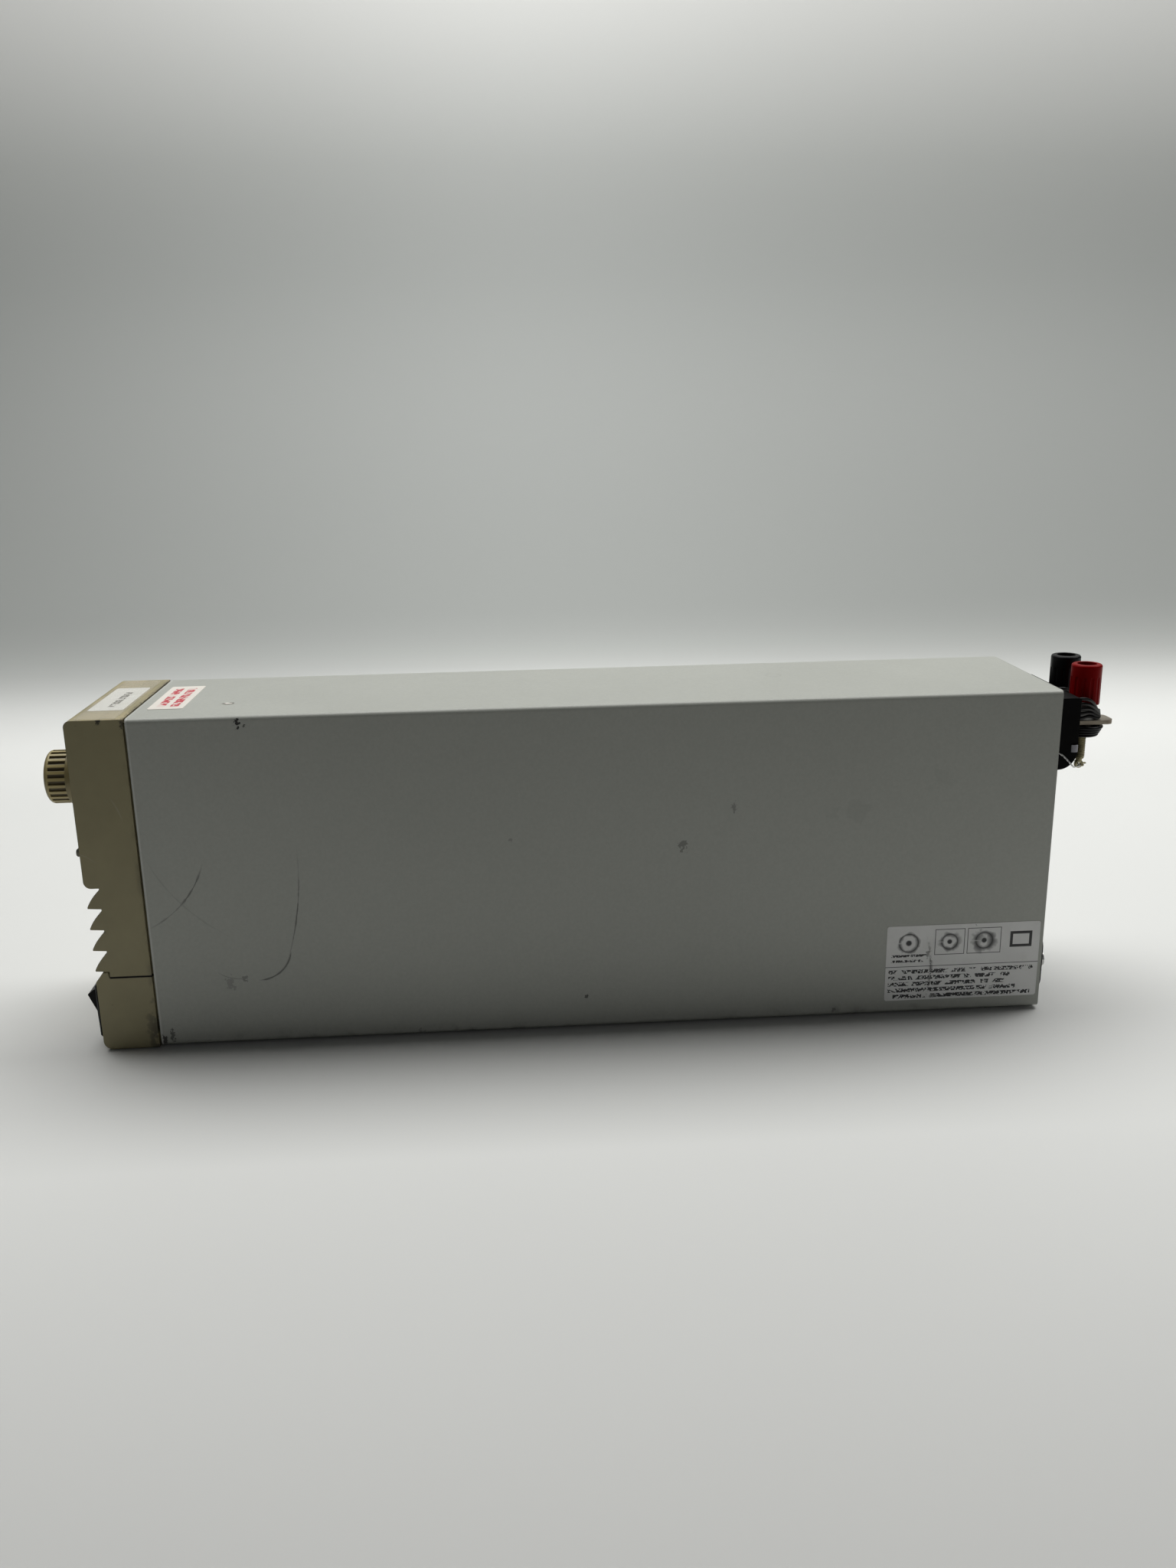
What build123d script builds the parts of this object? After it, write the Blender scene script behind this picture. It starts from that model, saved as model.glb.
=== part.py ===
from build123d import *
import os
from math import cos, pi, radians, sin, sqrt

os.makedirs("parts", exist_ok=True)

# ---------------------------------------------------------------- driving dimensions, mm
# X runs across the case, Y from the front to the rear, Z up. The origin is on the table, under
# the middle of the whole object.
CASE_W = 70.0
CASE_H = 124.0
CASE_L = 332.0
FOOT_H = 1.0                      # gap between the table and the cover's lips
SHEET = 1.0                       # cover sheet
PLATE_T = 1.2                     # chassis sheet
INNER_W = 67.4                    # width of what slides inside the cover
BEZEL_D = 20.9                    # front of the bezel to the cover's edge
SHADOW_GAP = 0.8                  # dark gap between the bezel and the cover
SPIGOT = 0.6                      # how far the bezels reach into the cover
KNOB_REACH = 31.8                 # knob's front to the cover's edge
TAB_REACH = 29.7                  # bus-bar ends to the cover's rear edge
OVERALL_L = KNOB_REACH + CASE_L + TAB_REACH

SEAM_Y = KNOB_REACH - OVERALL_L / 2
REAR_Y = SEAM_Y + CASE_L
FRONT_Y = SEAM_Y - BEZEL_D
BACK_Y = SEAM_Y - SHADOW_GAP
TOP_Z = FOOT_H + CASE_H
FLOOR_Z = FOOT_H + SHEET          # tray underside
BOARD_Z = FLOOR_Z + PLATE_T + 6.0 # main board underside
WALL_Y = SEAM_Y + SPIGOT          # front wall of the tray
PANEL_Y = REAR_Y - 0.4 - PLATE_T  # rear panel, set 0.4 into the cover
WALL_TOP = TOP_Z - SHEET - 0.3
WALL_H = WALL_TOP - FLOOR_Z
WALL_MID = FLOOR_Z + WALL_H / 2

# Bezel
SKIN = 2.4                        # bezel's front wall
SIDE_SKIN = 2.4
SPLIT_Z = FOOT_H + 28.2           # seam between the upper and the lower bezel
SHELF_Z = FOOT_H + 62.6           # underside of the control face, over the louvres
LOUVRE_Y = SEAM_Y - 15.7          # wall behind the louvre blades
BLADES = 4
BLADE_PITCH = 8.1
BLADE_Z = FOOT_H + 54.7           # underside of the top blade
BLADE_REACH = 4.8
BLADE_RISE = 7.3
CHEEK = 3.6                       # solid cheek at each end of the blades
BASE_DROP = 0.5                   # bezel's underside below the cover's
BOSS_R = 2.6
UPPER_BOSSES = [(x, z) for z in (118.8, 84.0) for x in (-30.2, 30.2)]
LOWER_BOSSES = [(-28.0, 15.0), (6.0, 15.0)]

# Front controls
KNOB_X = 21.0
KNOB_Z = FOOT_H + 100.8
KNOB_R = 9.6
KNOB_SKIRT_R = 10.1
KNOB_RIBS = 24
SHAFT_R = 3.0
WINDOW = (36.0, 26.0)
WINDOW_X = -10.5
WINDOW_Z = 101.0
DISPLAY_Y = SEAM_Y - 10.0         # front face of the display board
BUTTON_Z = FOOT_H + 74.3
BUTTON_REACH = 3.0                # how far the keys stand out of the bezel
BUTTON_XS = [-26.0, -13.0, 0.0, 13.0, 26.0]
BUTTON_NAMES = ["output_button", "preset_button", "limit_button", "memory_button", "local_button"]
LAMP_Z = BUTTON_Z + 5.4
ROCKER_X = 23.5
ROCKER_Z = FOOT_H + 13.0
ROCKER_Y = SEAM_Y - 20.35         # rocker pivot
ROCKER_TILT = 12.0                # lean of the rocker either side of its middle

# Rear
FAN_X = -8.0
FAN_Z = 64.0
FAN_SIZE = 50.0
FAN_D = 15.0
FAN_PITCH = 40.0
FAN_BORE = 23.0
INLET_X = 5.0
INLET_Z = 16.5
INLET_SCREWS = 40.0
JACK_X = 25.5
JACK_ZS = [80.0, 62.0]
SENSE_Z = 41.0
EARTH = (-27.0, 14.0)
POST_Y = REAR_Y + 19.4
POST_XS = {"positive": 9.5, "negative": -9.5}
BAR_Z = FOOT_H + 105.9            # underside of the bus bars
BAR_T = 1.6
BAR_W = 10.0
HOUSING_D = 12.4
HOUSING_W = 46.0
BAR_LEG_Y = REAR_Y - 45.0         # where the bars turn down to the board


# ---------------------------------------------------------------- helpers
def across(y):
    """Plane across the case at y: local axes X and Z; a negative extrusion runs to the rear."""
    return Plane((0, y, 0), x_dir=(1, 0, 0), z_dir=(0, -1, 0))


def along(x):
    """Plane along the case at x: local axes Y and Z; an extrusion runs towards +X."""
    return Plane((x, 0, 0), x_dir=(0, 1, 0), z_dir=(1, 0, 0))


def level(z):
    """Level plane at height z."""
    return Plane((0, 0, z))


def save(piece, name):
    """Label a finished piece and write its STEP file."""
    piece.part.label = name
    export_step(piece.part, f"parts/{name}.step")


def discs(plane_at, centres, steps, sign=1, mode=Mode.ADD):
    """Coaxial discs (radius, start, end) at each centre, stacked along the plane's normal."""
    for radius, start, end in steps:
        with BuildSketch(plane_at(start)) as section:
            with Locations(*centres):
                Circle(radius)
        extrude(section.sketch, amount=sign * (end - start), mode=mode)


def slab(plane, centre, size, amount, radius=0.0, mode=Mode.ADD):
    """A rectangular slab on a plane, with rounded corners where a radius is given."""
    with BuildSketch(plane) as section:
        with Locations(centre):
            if radius:
                RectangleRounded(size[0], size[1], radius)
            else:
                Rectangle(size[0], size[1])
    extrude(section.sketch, amount=amount, mode=mode)


def save_blocks(name, size, centres, radius=0.0):
    """A node of equal upright blocks: size (x, y, z) and the centres of their undersides."""
    with BuildPart() as blocks:
        for x, y, z in centres:
            slab(level(z), (x, y), size[:2], size[2], radius)
    save(blocks, name)


def save_discs(name, plane_at, centres, steps, sign=1):
    """A node of equal turned pieces, one at each centre."""
    with BuildPart() as turned:
        discs(plane_at, centres, steps, sign)
    save(turned, name)


def grid(xs, ys):
    """Every pair of the given positions."""
    return [(x, y) for x in xs for y in ys]


# ---------------------------------------------------------------- case
LIP_SCREWS = grid((-30.0, 30.0), (SEAM_Y + 20, 0, REAR_Y - 20))
FEET = grid((-18.0, 18.0), (SEAM_Y + 24, REAR_Y - 24))

# Folded cover: top, two sides and a lip turned in under each side
with BuildPart() as cover:
    with BuildSketch(across(SEAM_Y)) as cover_section:
        with Locations((0, FOOT_H + CASE_H / 2)):
            Rectangle(CASE_W, CASE_H)
        fillet(cover_section.vertices(), 1.6)
        with Locations((0, FOOT_H + CASE_H / 2)):
            Rectangle(CASE_W - 2 * SHEET, CASE_H - 2 * SHEET, mode=Mode.SUBTRACT)
        with Locations((0, FOOT_H)):
            Rectangle(52.0, 3 * SHEET, mode=Mode.SUBTRACT)
    extrude(amount=-CASE_L)
    discs(level, LIP_SCREWS, [(1.6, FOOT_H - 1, FLOOR_Z + 0.5)], mode=Mode.SUBTRACT)
save(cover, "cover")

# Folded chassis: floor, front wall and a low rear flange
with BuildPart() as tray:
    slab(level(FLOOR_Z), (0, (WALL_Y + PANEL_Y) / 2), (INNER_W, PANEL_Y - WALL_Y), PLATE_T)
    with BuildSketch(across(WALL_Y)):
        with Locations((0, WALL_MID)):
            Rectangle(INNER_W, WALL_H)
        with Locations((0, SPLIT_Z + 18)):
            Rectangle(56.0, 31.0, mode=Mode.SUBTRACT)
        with Locations((ROCKER_X, ROCKER_Z)):
            Rectangle(17.0, 22.0, mode=Mode.SUBTRACT)
        with Locations((0, BUTTON_Z + 14)):
            SlotOverall(36.0, 9.0, mode=Mode.SUBTRACT)
        with Locations(*UPPER_BOSSES, *LOWER_BOSSES):
            Circle(1.6, mode=Mode.SUBTRACT)
    extrude(amount=-PLATE_T)
    slab(across(PANEL_Y - PLATE_T), (0, FLOOR_Z + 1.5), (INNER_W, 3.0), -PLATE_T)
    discs(level, LIP_SCREWS, [(1.6, FLOOR_Z - 0.5, FLOOR_Z + 2)], mode=Mode.SUBTRACT)
save(tray, "chassis_tray")

# Rear panel with its cut-outs and a flange that stiffens the top edge
with BuildPart() as rear_panel:
    with BuildSketch(across(PANEL_Y)):
        with Locations((0, WALL_MID)):
            Rectangle(INNER_W, WALL_H)
        with Locations((FAN_X, FAN_Z)):
            Circle(FAN_BORE, mode=Mode.SUBTRACT)
            with GridLocations(FAN_PITCH, FAN_PITCH, 2, 2):
                Circle(2.0, mode=Mode.SUBTRACT)
        with Locations((INLET_X, INLET_Z)):
            Rectangle(28.0, 20.4, mode=Mode.SUBTRACT)
            with GridLocations(INLET_SCREWS, 1, 2, 1):
                Circle(1.7, mode=Mode.SUBTRACT)
        with Locations(*[(JACK_X, z) for z in JACK_ZS]):
            Rectangle(13.8, 16.2, mode=Mode.SUBTRACT)
        with Locations((JACK_X, SENSE_Z)):
            Rectangle(8.8, 19.4, mode=Mode.SUBTRACT)
        with Locations((0, BAR_Z + BAR_T / 2)):
            Rectangle(34.0, 7.0, mode=Mode.SUBTRACT)
        with Locations(EARTH):
            Circle(2.1, mode=Mode.SUBTRACT)
    extrude(amount=-PLATE_T)
    slab(level(WALL_TOP - PLATE_T), (0, PANEL_Y - 4), (60.0, 8.0), PLATE_T)
save(rear_panel, "rear_panel")

with BuildPart() as feet:
    discs(level, FEET, [(6.0, 0, FLOOR_Z)])
    chamfer(feet.edges().group_by(Axis.Z)[0], 0.5)
save(feet, "feet")

# ---------------------------------------------------------------- bezels
CAVITY_W = CASE_W - 2 * SIDE_SKIN


def spigot(low, high):
    """The thin rim behind a bezel that enters the cover and meets the tray's front wall."""
    with BuildSketch(across(BACK_Y)) as rim:
        with Locations((0, (low + high) / 2)):
            Rectangle(INNER_W, high - low)
            Rectangle(CAVITY_W, high - low - 2.2, mode=Mode.SUBTRACT)
    extrude(rim.sketch, amount=-(WALL_Y - BACK_Y))


def bosses(centres, start):
    """Screw bosses from the bezel's front wall back to the tray's front wall."""
    discs(across, centres, [(BOSS_R, start, WALL_Y)], sign=-1)
    discs(across, centres, [(1.55, WALL_Y - 9, WALL_Y + 1)], sign=-1, mode=Mode.SUBTRACT)


with BuildPart() as upper_bezel:
    # Outer shape: control face over a recessed louvre wall
    with BuildSketch(along(-CASE_W / 2)) as bezel_side:
        with BuildLine():
            Polyline(
                (BACK_Y, SPLIT_Z), (LOUVRE_Y, SPLIT_Z), (LOUVRE_Y, SHELF_Z),
                (FRONT_Y, SHELF_Z), (FRONT_Y, TOP_Z), (BACK_Y, TOP_Z), close=True,
            )
        make_face()
        front_corners = bezel_side.vertices().group_by(Axis.X)[0].sort_by(Axis.Y)
        fillet(front_corners[0], 2.6)
        fillet(bezel_side.vertices().group_by(Axis.X)[0].sort_by(Axis.Y)[-1], 2.4)
    extrude(amount=CASE_W)
    # Louvre blades, hollow between their solid cheeks
    for blade in range(BLADES):
        low = BLADE_Z - blade * BLADE_PITCH
        tip_y = LOUVRE_Y - BLADE_REACH
        with BuildSketch(along(-CASE_W / 2)):
            with BuildLine():
                nose = Polyline(
                    (LOUVRE_Y + 0.6, low + BLADE_RISE), (LOUVRE_Y + 0.6, low), (LOUVRE_Y, low),
                    (tip_y, low + 0.3), (tip_y, low + 0.9),
                )
                sweep_up = ThreePointArc(
                    nose @ 1, (LOUVRE_Y - 2.3, low + 4.9), (LOUVRE_Y, low + BLADE_RISE)
                )
                Line(sweep_up @ 1, nose @ 0)
            make_face()
        extrude(amount=CASE_W)
    with BuildSketch(along(-CAVITY_W / 2)):
        with BuildLine():
            Polyline(
                (WALL_Y + 1, SPLIT_Z - 1), (LOUVRE_Y + 2.2, SPLIT_Z - 1),
                (LOUVRE_Y + 2.2, SHELF_Z + 2.2), (FRONT_Y + SKIN, SHELF_Z + 2.2),
                (FRONT_Y + SKIN, TOP_Z - SIDE_SKIN), (WALL_Y + 1, TOP_Z - SIDE_SKIN), close=True,
            )
        make_face()
    extrude(amount=CAVITY_W, mode=Mode.SUBTRACT)
    for blade in range(BLADES):
        low = BLADE_Z - blade * BLADE_PITCH
        with BuildSketch(along(-CASE_W / 2 + CHEEK)):
            with BuildLine():
                hollow = ThreePointArc(
                    (LOUVRE_Y - 3.3, low - 0.3), (LOUVRE_Y - 1.5, low + 3.5), (LOUVRE_Y + 0.2, low + 5.4)
                )
                Polyline(hollow @ 1, (LOUVRE_Y + 3, low + 5.4), (LOUVRE_Y + 3, low - 0.3), hollow @ 0)
            make_face()
        extrude(amount=CASE_W - 2 * CHEEK, mode=Mode.SUBTRACT)
    spigot(SPLIT_Z, TOP_Z - SHEET - 0.3)
    # The rim has no lower bar, so that the two bezels share one opening
    slab(across(BACK_Y - 1), (0, SPLIT_Z), (CAVITY_W, 5.0), -4.0, mode=Mode.SUBTRACT)
    bosses(UPPER_BOSSES, FRONT_Y + 1.5)
    # Window opening with a rebate that holds the lens
    slab(across(FRONT_Y), (WINDOW_X, WINDOW_Z), WINDOW, -1.9, 1.5, Mode.SUBTRACT)
    slab(across(FRONT_Y), (WINDOW_X, WINDOW_Z), (WINDOW[0] - 4, WINDOW[1] - 4), -5.0, 1.0, Mode.SUBTRACT)
    discs(across, [(KNOB_X, KNOB_Z)], [(3.9, FRONT_Y - 1, FRONT_Y + 5)], -1, Mode.SUBTRACT)
    for x in BUTTON_XS:
        slab(across(FRONT_Y - 1), (x, BUTTON_Z), (8.6, 3.6), -5.0, 1.5, Mode.SUBTRACT)
        discs(across, [(x, LAMP_Z)], [(1.1, FRONT_Y - 1, FRONT_Y + 5)], -1, Mode.SUBTRACT)
save(upper_bezel, "upper_bezel")

LOWER_Z = FOOT_H - BASE_DROP
with BuildPart() as lower_bezel:
    with BuildSketch(along(-CASE_W / 2)) as foot_side:
        with BuildLine():
            Polyline(
                (BACK_Y, LOWER_Z), (FRONT_Y, LOWER_Z), (FRONT_Y, FOOT_H + 26.4),
                (SEAM_Y - 18.1, FOOT_H + 30.1), (SEAM_Y - 16.3, FOOT_H + 30.1),
                (SEAM_Y - 15.9, SPLIT_Z - 0.3), (BACK_Y, SPLIT_Z - 0.3), close=True,
            )
        make_face()
        chin = foot_side.vertices().group_by(Axis.Y)[0].sort_by(Axis.X)[0]
        fillet(chin, 3.2)
    extrude(amount=CASE_W)
    with BuildSketch(along(-CAVITY_W / 2)):
        with BuildLine():
            Polyline(
                (WALL_Y + 1, LOWER_Z + 2.2), (FRONT_Y + SKIN, LOWER_Z + 2.2),
                (FRONT_Y + SKIN, FOOT_H + 25.4), (LOUVRE_Y, SPLIT_Z - 2.3),
                (WALL_Y + 1, SPLIT_Z - 2.3), close=True,
            )
        make_face()
    extrude(amount=CAVITY_W, mode=Mode.SUBTRACT)
    spigot(FLOOR_Z + 0.4, SPLIT_Z - 0.3)
    bosses(LOWER_BOSSES, FRONT_Y + 1.5)
    slab(across(FRONT_Y - 1), (ROCKER_X, ROCKER_Z), (13.2, 19.2), -6.0, 0.0, Mode.SUBTRACT)
save(lower_bezel, "lower_bezel")

BEZEL_SCREW = [(1.5, WALL_Y - 7, WALL_Y + PLATE_T), (2.8, WALL_Y + PLATE_T, WALL_Y + PLATE_T + 1.8)]

# ---------------------------------------------------------------- front controls
with BuildPart() as window:
    slab(across(FRONT_Y + 0.3), (WINDOW_X, WINDOW_Z), (WINDOW[0] - 0.3, WINDOW[1] - 0.3), -1.6, 1.35)
    chamfer(window.edges().group_by(Axis.Y)[0], 0.3)
save(window, "display_window")

with BuildPart() as display_board:
    slab(across(DISPLAY_Y), (0, 95.5), (64.0, 50.0), -1.6, 1.0)
    discs(across, UPPER_BOSSES, [(BOSS_R + 0.3, DISPLAY_Y - 1, DISPLAY_Y + 3)], -1, Mode.SUBTRACT)
save(display_board, "display_board")

# Four digits in each module, with a ridge round its face
with BuildPart() as digit_modules:
    for z in (WINDOW_Z + 6.2, WINDOW_Z - 6.2):
        slab(across(DISPLAY_Y - 6.5), (WINDOW_X, z), (30.4, 11.6), -6.5)
        for place in range(4):
            slab(across(DISPLAY_Y - 6.5), (WINDOW_X - 11.25 + 7.5 * place, z), (6.9, 10.4), -0.3,
                 0.4, Mode.SUBTRACT)
save(digit_modules, "digit_modules")

# Rotary encoder: square body and threaded bush on the board, shaft that turns in it
with BuildPart() as encoder_body:
    slab(across(DISPLAY_Y - 6.5), (KNOB_X, KNOB_Z), (12.5, 13.0), -6.5, 0.8)
    discs(across, [(KNOB_X, KNOB_Z)], [(3.5, FRONT_Y + 1.0, DISPLAY_Y - 6.5)], -1)
    discs(across, [(KNOB_X, KNOB_Z)], [(SHAFT_R + 0.05, FRONT_Y, DISPLAY_Y - 2)], -1, Mode.SUBTRACT)
save(encoder_body, "encoder_body")

KNOB_FRONT = SEAM_Y - KNOB_REACH
KNOB_BACK = FRONT_Y - 0.5
KNOB_NOSE = 1.7
KNOB_SKIRT = 2.6
save_discs("encoder_shaft", across, [(KNOB_X, KNOB_Z)], [(SHAFT_R, KNOB_FRONT + 2.5, DISPLAY_Y - 2.2)], -1)

with BuildPart() as knob:
    discs(across, [(KNOB_X, KNOB_Z)],
          [(KNOB_R, KNOB_FRONT, KNOB_BACK), (KNOB_SKIRT_R, KNOB_BACK - KNOB_SKIRT, KNOB_BACK)], -1)
    fillet(knob.edges().filter_by(GeomType.CIRCLE).group_by(Axis.Y)[0], 1.6)
    fillet(knob.edges().filter_by(GeomType.CIRCLE).group_by(Axis.Y)[-1], 0.4)
    # Grip grooves between a plain nose and the skirt
    with BuildSketch(across(KNOB_FRONT + KNOB_NOSE)):
        with Locations((KNOB_X, KNOB_Z)):
            with PolarLocations(KNOB_R + 0.05, KNOB_RIBS):
                Circle(0.72)
    extrude(amount=-(KNOB_BACK - KNOB_SKIRT - KNOB_FRONT - KNOB_NOSE), mode=Mode.SUBTRACT)
    discs(across, [(KNOB_X, KNOB_Z)], [(SHAFT_R, KNOB_FRONT + 2.5, KNOB_BACK + 1)], -1, Mode.SUBTRACT)
    # Hollow under the skirt, round the hub
    with BuildSketch(across(KNOB_BACK - 5)):
        with Locations((KNOB_X, KNOB_Z)):
            Circle(7.4)
            Circle(4.6, mode=Mode.SUBTRACT)
    extrude(amount=-6, mode=Mode.SUBTRACT)
    discs(across, [(KNOB_X, KNOB_Z)], [(KNOB_R - 2.6, KNOB_FRONT - 1, KNOB_FRONT + 0.25)], -1,
          Mode.SUBTRACT)
save(knob, "knob")

# Push buttons: rounded cap through the face, flange behind it and a stem over the switch
for name, x in zip(BUTTON_NAMES, BUTTON_XS):
    with BuildPart() as button:
        slab(across(FRONT_Y - BUTTON_REACH), (x, BUTTON_Z), (8.0, 3.0), -(BUTTON_REACH + SKIN + 0.4), 1.2)
        fillet(button.edges().group_by(Axis.Y)[0], 0.8)
        slab(across(FRONT_Y + SKIN + 0.3), (x, BUTTON_Z), (10.0, 5.0), -1.0, 1.2)
        discs(across, [(x, BUTTON_Z)], [(1.4, FRONT_Y + SKIN + 1.0, DISPLAY_Y - 4.7)], -1)
    save(button, name)

with BuildPart() as tact_switches:
    for x in BUTTON_XS:
        slab(across(DISPLAY_Y - 3.0), (x, BUTTON_Z), (6.0, 6.0), -3.0, 0.5)
        discs(across, [(x, BUTTON_Z)], [(1.6, DISPLAY_Y - 3.6, DISPLAY_Y - 3.0)], -1)
save(tact_switches, "tact_switches")

save_discs("indicator_lamps", across, [(x, LAMP_Z) for x in BUTTON_XS],
           [(1.0, FRONT_Y - 0.3, DISPLAY_Y - 1.2), (1.4, DISPLAY_Y - 1.2, DISPLAY_Y)], -1)

# ---------------------------------------------------------------- power switch
ROCKER_W = 10.0
ROCKER_END_R = 8.6
ROCKER_FRONT = 5.0                # pivot to the rocker's two front corners
ROCKER_VALLEY = 3.7               # pivot to the bend between its two faces
FRAME_T = 2.2                     # flange that stands on the bezel
FRAME_FRONT = FRONT_Y - FRAME_T
SWITCH_BACK = SEAM_Y - 7.0

with BuildPart() as switch_body:
    slab(across(FRAME_FRONT), (ROCKER_X, ROCKER_Z), (15.0, 21.0), -FRAME_T, 1.0)
    chamfer(switch_body.edges().group_by(Axis.Y)[0], 0.5)
    slab(across(FRONT_Y), (ROCKER_X, ROCKER_Z), (13.0, 19.0), -(SWITCH_BACK - FRONT_Y))
    slab(across(FRAME_FRONT - 1), (ROCKER_X, ROCKER_Z), (ROCKER_W + 0.6, 2 * (ROCKER_END_R + 0.3)),
         -(SEAM_Y - 16.6 - FRAME_FRONT + 1), mode=Mode.SUBTRACT)
    with BuildSketch(along(ROCKER_X - 6.1)):
        with Locations((ROCKER_Y, ROCKER_Z)):
            Circle(1.25)
    extrude(amount=12.2, mode=Mode.SUBTRACT)
save(switch_body, "switch_body")


def rocker_point(out, up):
    """Place a point of the rocker's side view, leaning with its top outwards."""
    lean = radians(ROCKER_TILT)
    return (ROCKER_Y - out * cos(lean) - up * sin(lean), ROCKER_Z + up * cos(lean) - out * sin(lean))


corner_up = sqrt(ROCKER_END_R**2 - ROCKER_FRONT**2)
back_up = sqrt(ROCKER_END_R**2 - 0.5**2)
side_out = 2.5
side_up = sqrt(ROCKER_END_R**2 - side_out**2)
with BuildPart() as rocker:
    with BuildSketch(along(ROCKER_X - ROCKER_W / 2)):
        with BuildLine():
            Polyline(
                rocker_point(ROCKER_FRONT, corner_up), rocker_point(ROCKER_VALLEY, 0),
                rocker_point(ROCKER_FRONT, -corner_up),
            )
            ThreePointArc(
                rocker_point(ROCKER_FRONT, -corner_up), rocker_point(side_out, -side_up),
                rocker_point(-0.5, -back_up),
            )
            Line(rocker_point(-0.5, -back_up), rocker_point(-0.5, back_up))
            ThreePointArc(
                rocker_point(-0.5, back_up), rocker_point(side_out, side_up),
                rocker_point(ROCKER_FRONT, corner_up),
            )
        make_face()
    extrude(amount=ROCKER_W)
    with BuildSketch(along(ROCKER_X - 6.0)):
        with Locations((ROCKER_Y, ROCKER_Z)):
            Circle(1.2)
    extrude(amount=12.0)
save(rocker, "switch_rocker")

# ---------------------------------------------------------------- main board and what stands on it
BOARD_TOP = BOARD_Z + 1.6
BOARD_FRONT = SEAM_Y + 14
BOARD_REAR = BAR_LEG_Y + 3
STANDOFFS = grid((-28.0, 28.0), (BOARD_FRONT + 8, (BOARD_FRONT + BOARD_REAR) / 2, BOARD_REAR - 12))

with BuildPart() as main_board:
    slab(level(BOARD_Z), (0, (BOARD_FRONT + BOARD_REAR) / 2), (64.0, BOARD_REAR - BOARD_FRONT), 1.6, 1.5)
    discs(level, STANDOFFS, [(1.6, BOARD_Z - 1, BOARD_Z + 3)], mode=Mode.SUBTRACT)
save(main_board, "main_board")

save_discs("board_standoffs", level, STANDOFFS, [(2.8, FLOOR_Z + PLATE_T, BOARD_Z)])
BOARD_SCREW = [(1.5, BOARD_Z, BOARD_TOP), (2.7, BOARD_TOP, BOARD_TOP + 1.9)]

with BuildPart() as heatsinks:
    for side, start, end in ((-1, -62.0, 22.0), (1, -10.0, 88.0)):
        with BuildSketch(across(start)):
            with Locations((side * 20.5, BOARD_TOP + 26)):
                Rectangle(3.0, 52.0)
            with Locations(*[(side * 26.5, BOARD_TOP + 6 + fin * 6.2) for fin in range(8)]):
                Rectangle(10.0, 1.5)
        extrude(amount=-(end - start))
save(heatsinks, "heatsinks")

with BuildPart() as power_transistors:
    for x, y in ((-16.6, -50.0), (-16.6, 12.0), (16.6, 40.0), (16.6, 66.0)):
        slab(level(BOARD_TOP + 6), (x, y), (4.8, 15.8), 21.0)
        for lead in (-5.4, 0.0, 5.4):
            slab(level(BOARD_TOP), (x, y + lead), (0.8, 1.2), 6.0)
save(power_transistors, "power_transistors")

with BuildPart() as bulk_capacitors:
    discs(level, [(-8.5, -122.0), (-8.5, -92.0)], [(12.5, BOARD_TOP, BOARD_TOP + 45)])
    fillet(bulk_capacitors.edges().group_by(Axis.Z)[-1], 1.2)
save(bulk_capacitors, "bulk_capacitors")

with BuildPart() as output_capacitors:
    discs(level, grid((-8.0, 8.0), (97.0, 112.0)), [(6.3, BOARD_TOP, BOARD_TOP + 25)])
    fillet(output_capacitors.edges().group_by(Axis.Z)[-1], 0.8)
save(output_capacitors, "output_capacitors")

# Power transformer: ferrite frame round a wound bobbin
TRANSFORMER_Y = -18.0
with BuildPart() as transformer_core:
    slab(along(-12.0), (TRANSFORMER_Y, BOARD_TOP + 22), (42.0, 40.0), 24.0)
    for window_y in (-13.0, 13.0):
        slab(along(-13.0), (TRANSFORMER_Y + window_y, BOARD_TOP + 22), (10.0, 27.0), 26.0,
             mode=Mode.SUBTRACT)
save(transformer_core, "transformer_core")

with BuildPart() as transformer_winding:
    slab(level(BOARD_TOP + 9), (0, TRANSFORMER_Y), (27.6, 35.0), 26.0, 3.0)
    slab(level(BOARD_TOP + 8), (0, TRANSFORMER_Y), (24.0, 16.0), 28.0, mode=Mode.SUBTRACT)
save(transformer_winding, "transformer_winding")

# Ring-cored chokes, standing on edge
with BuildPart() as ring_chokes:
    for x, y, ring_r, section_r in ((0.0, 44.0, 11.0, 4.6), (13.0, -88.0, 9.0, 4.2)):
        middle = (x, y, BOARD_TOP + ring_r + section_r)
        with BuildSketch(Plane(middle, x_dir=(0, 1, 0), z_dir=(0, 0, 1))):
            with Locations((ring_r, 0)):
                Circle(section_r)
        revolve(axis=Axis(middle, (1, 0, 0)))
save(ring_chokes, "ring_chokes")

save_blocks("bridge_rectifier", (5.0, 25.0, 15.0), [(-28.0, -104.0, BOARD_TOP + 3)], 0.8)
save_blocks("filter_capacitors", (13.0, 26.5, 22.0),
            [(20.0, -121.0, BOARD_TOP), (-12.0, 68.0, BOARD_TOP)], 1.0)

with BuildPart() as control_board:
    slab(along(29.5), (-95.0, BOARD_TOP + 30), (84.0, 56.0), 1.6)
    for y, z, size in ((-110.0, 34.0, 14.0), (-80.0, 38.0, 10.0), (-95.0, 16.0, 8.0)):
        slab(along(27.5), (y, BOARD_TOP + z), (size, size), 2.0)
save(control_board, "control_board")

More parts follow.
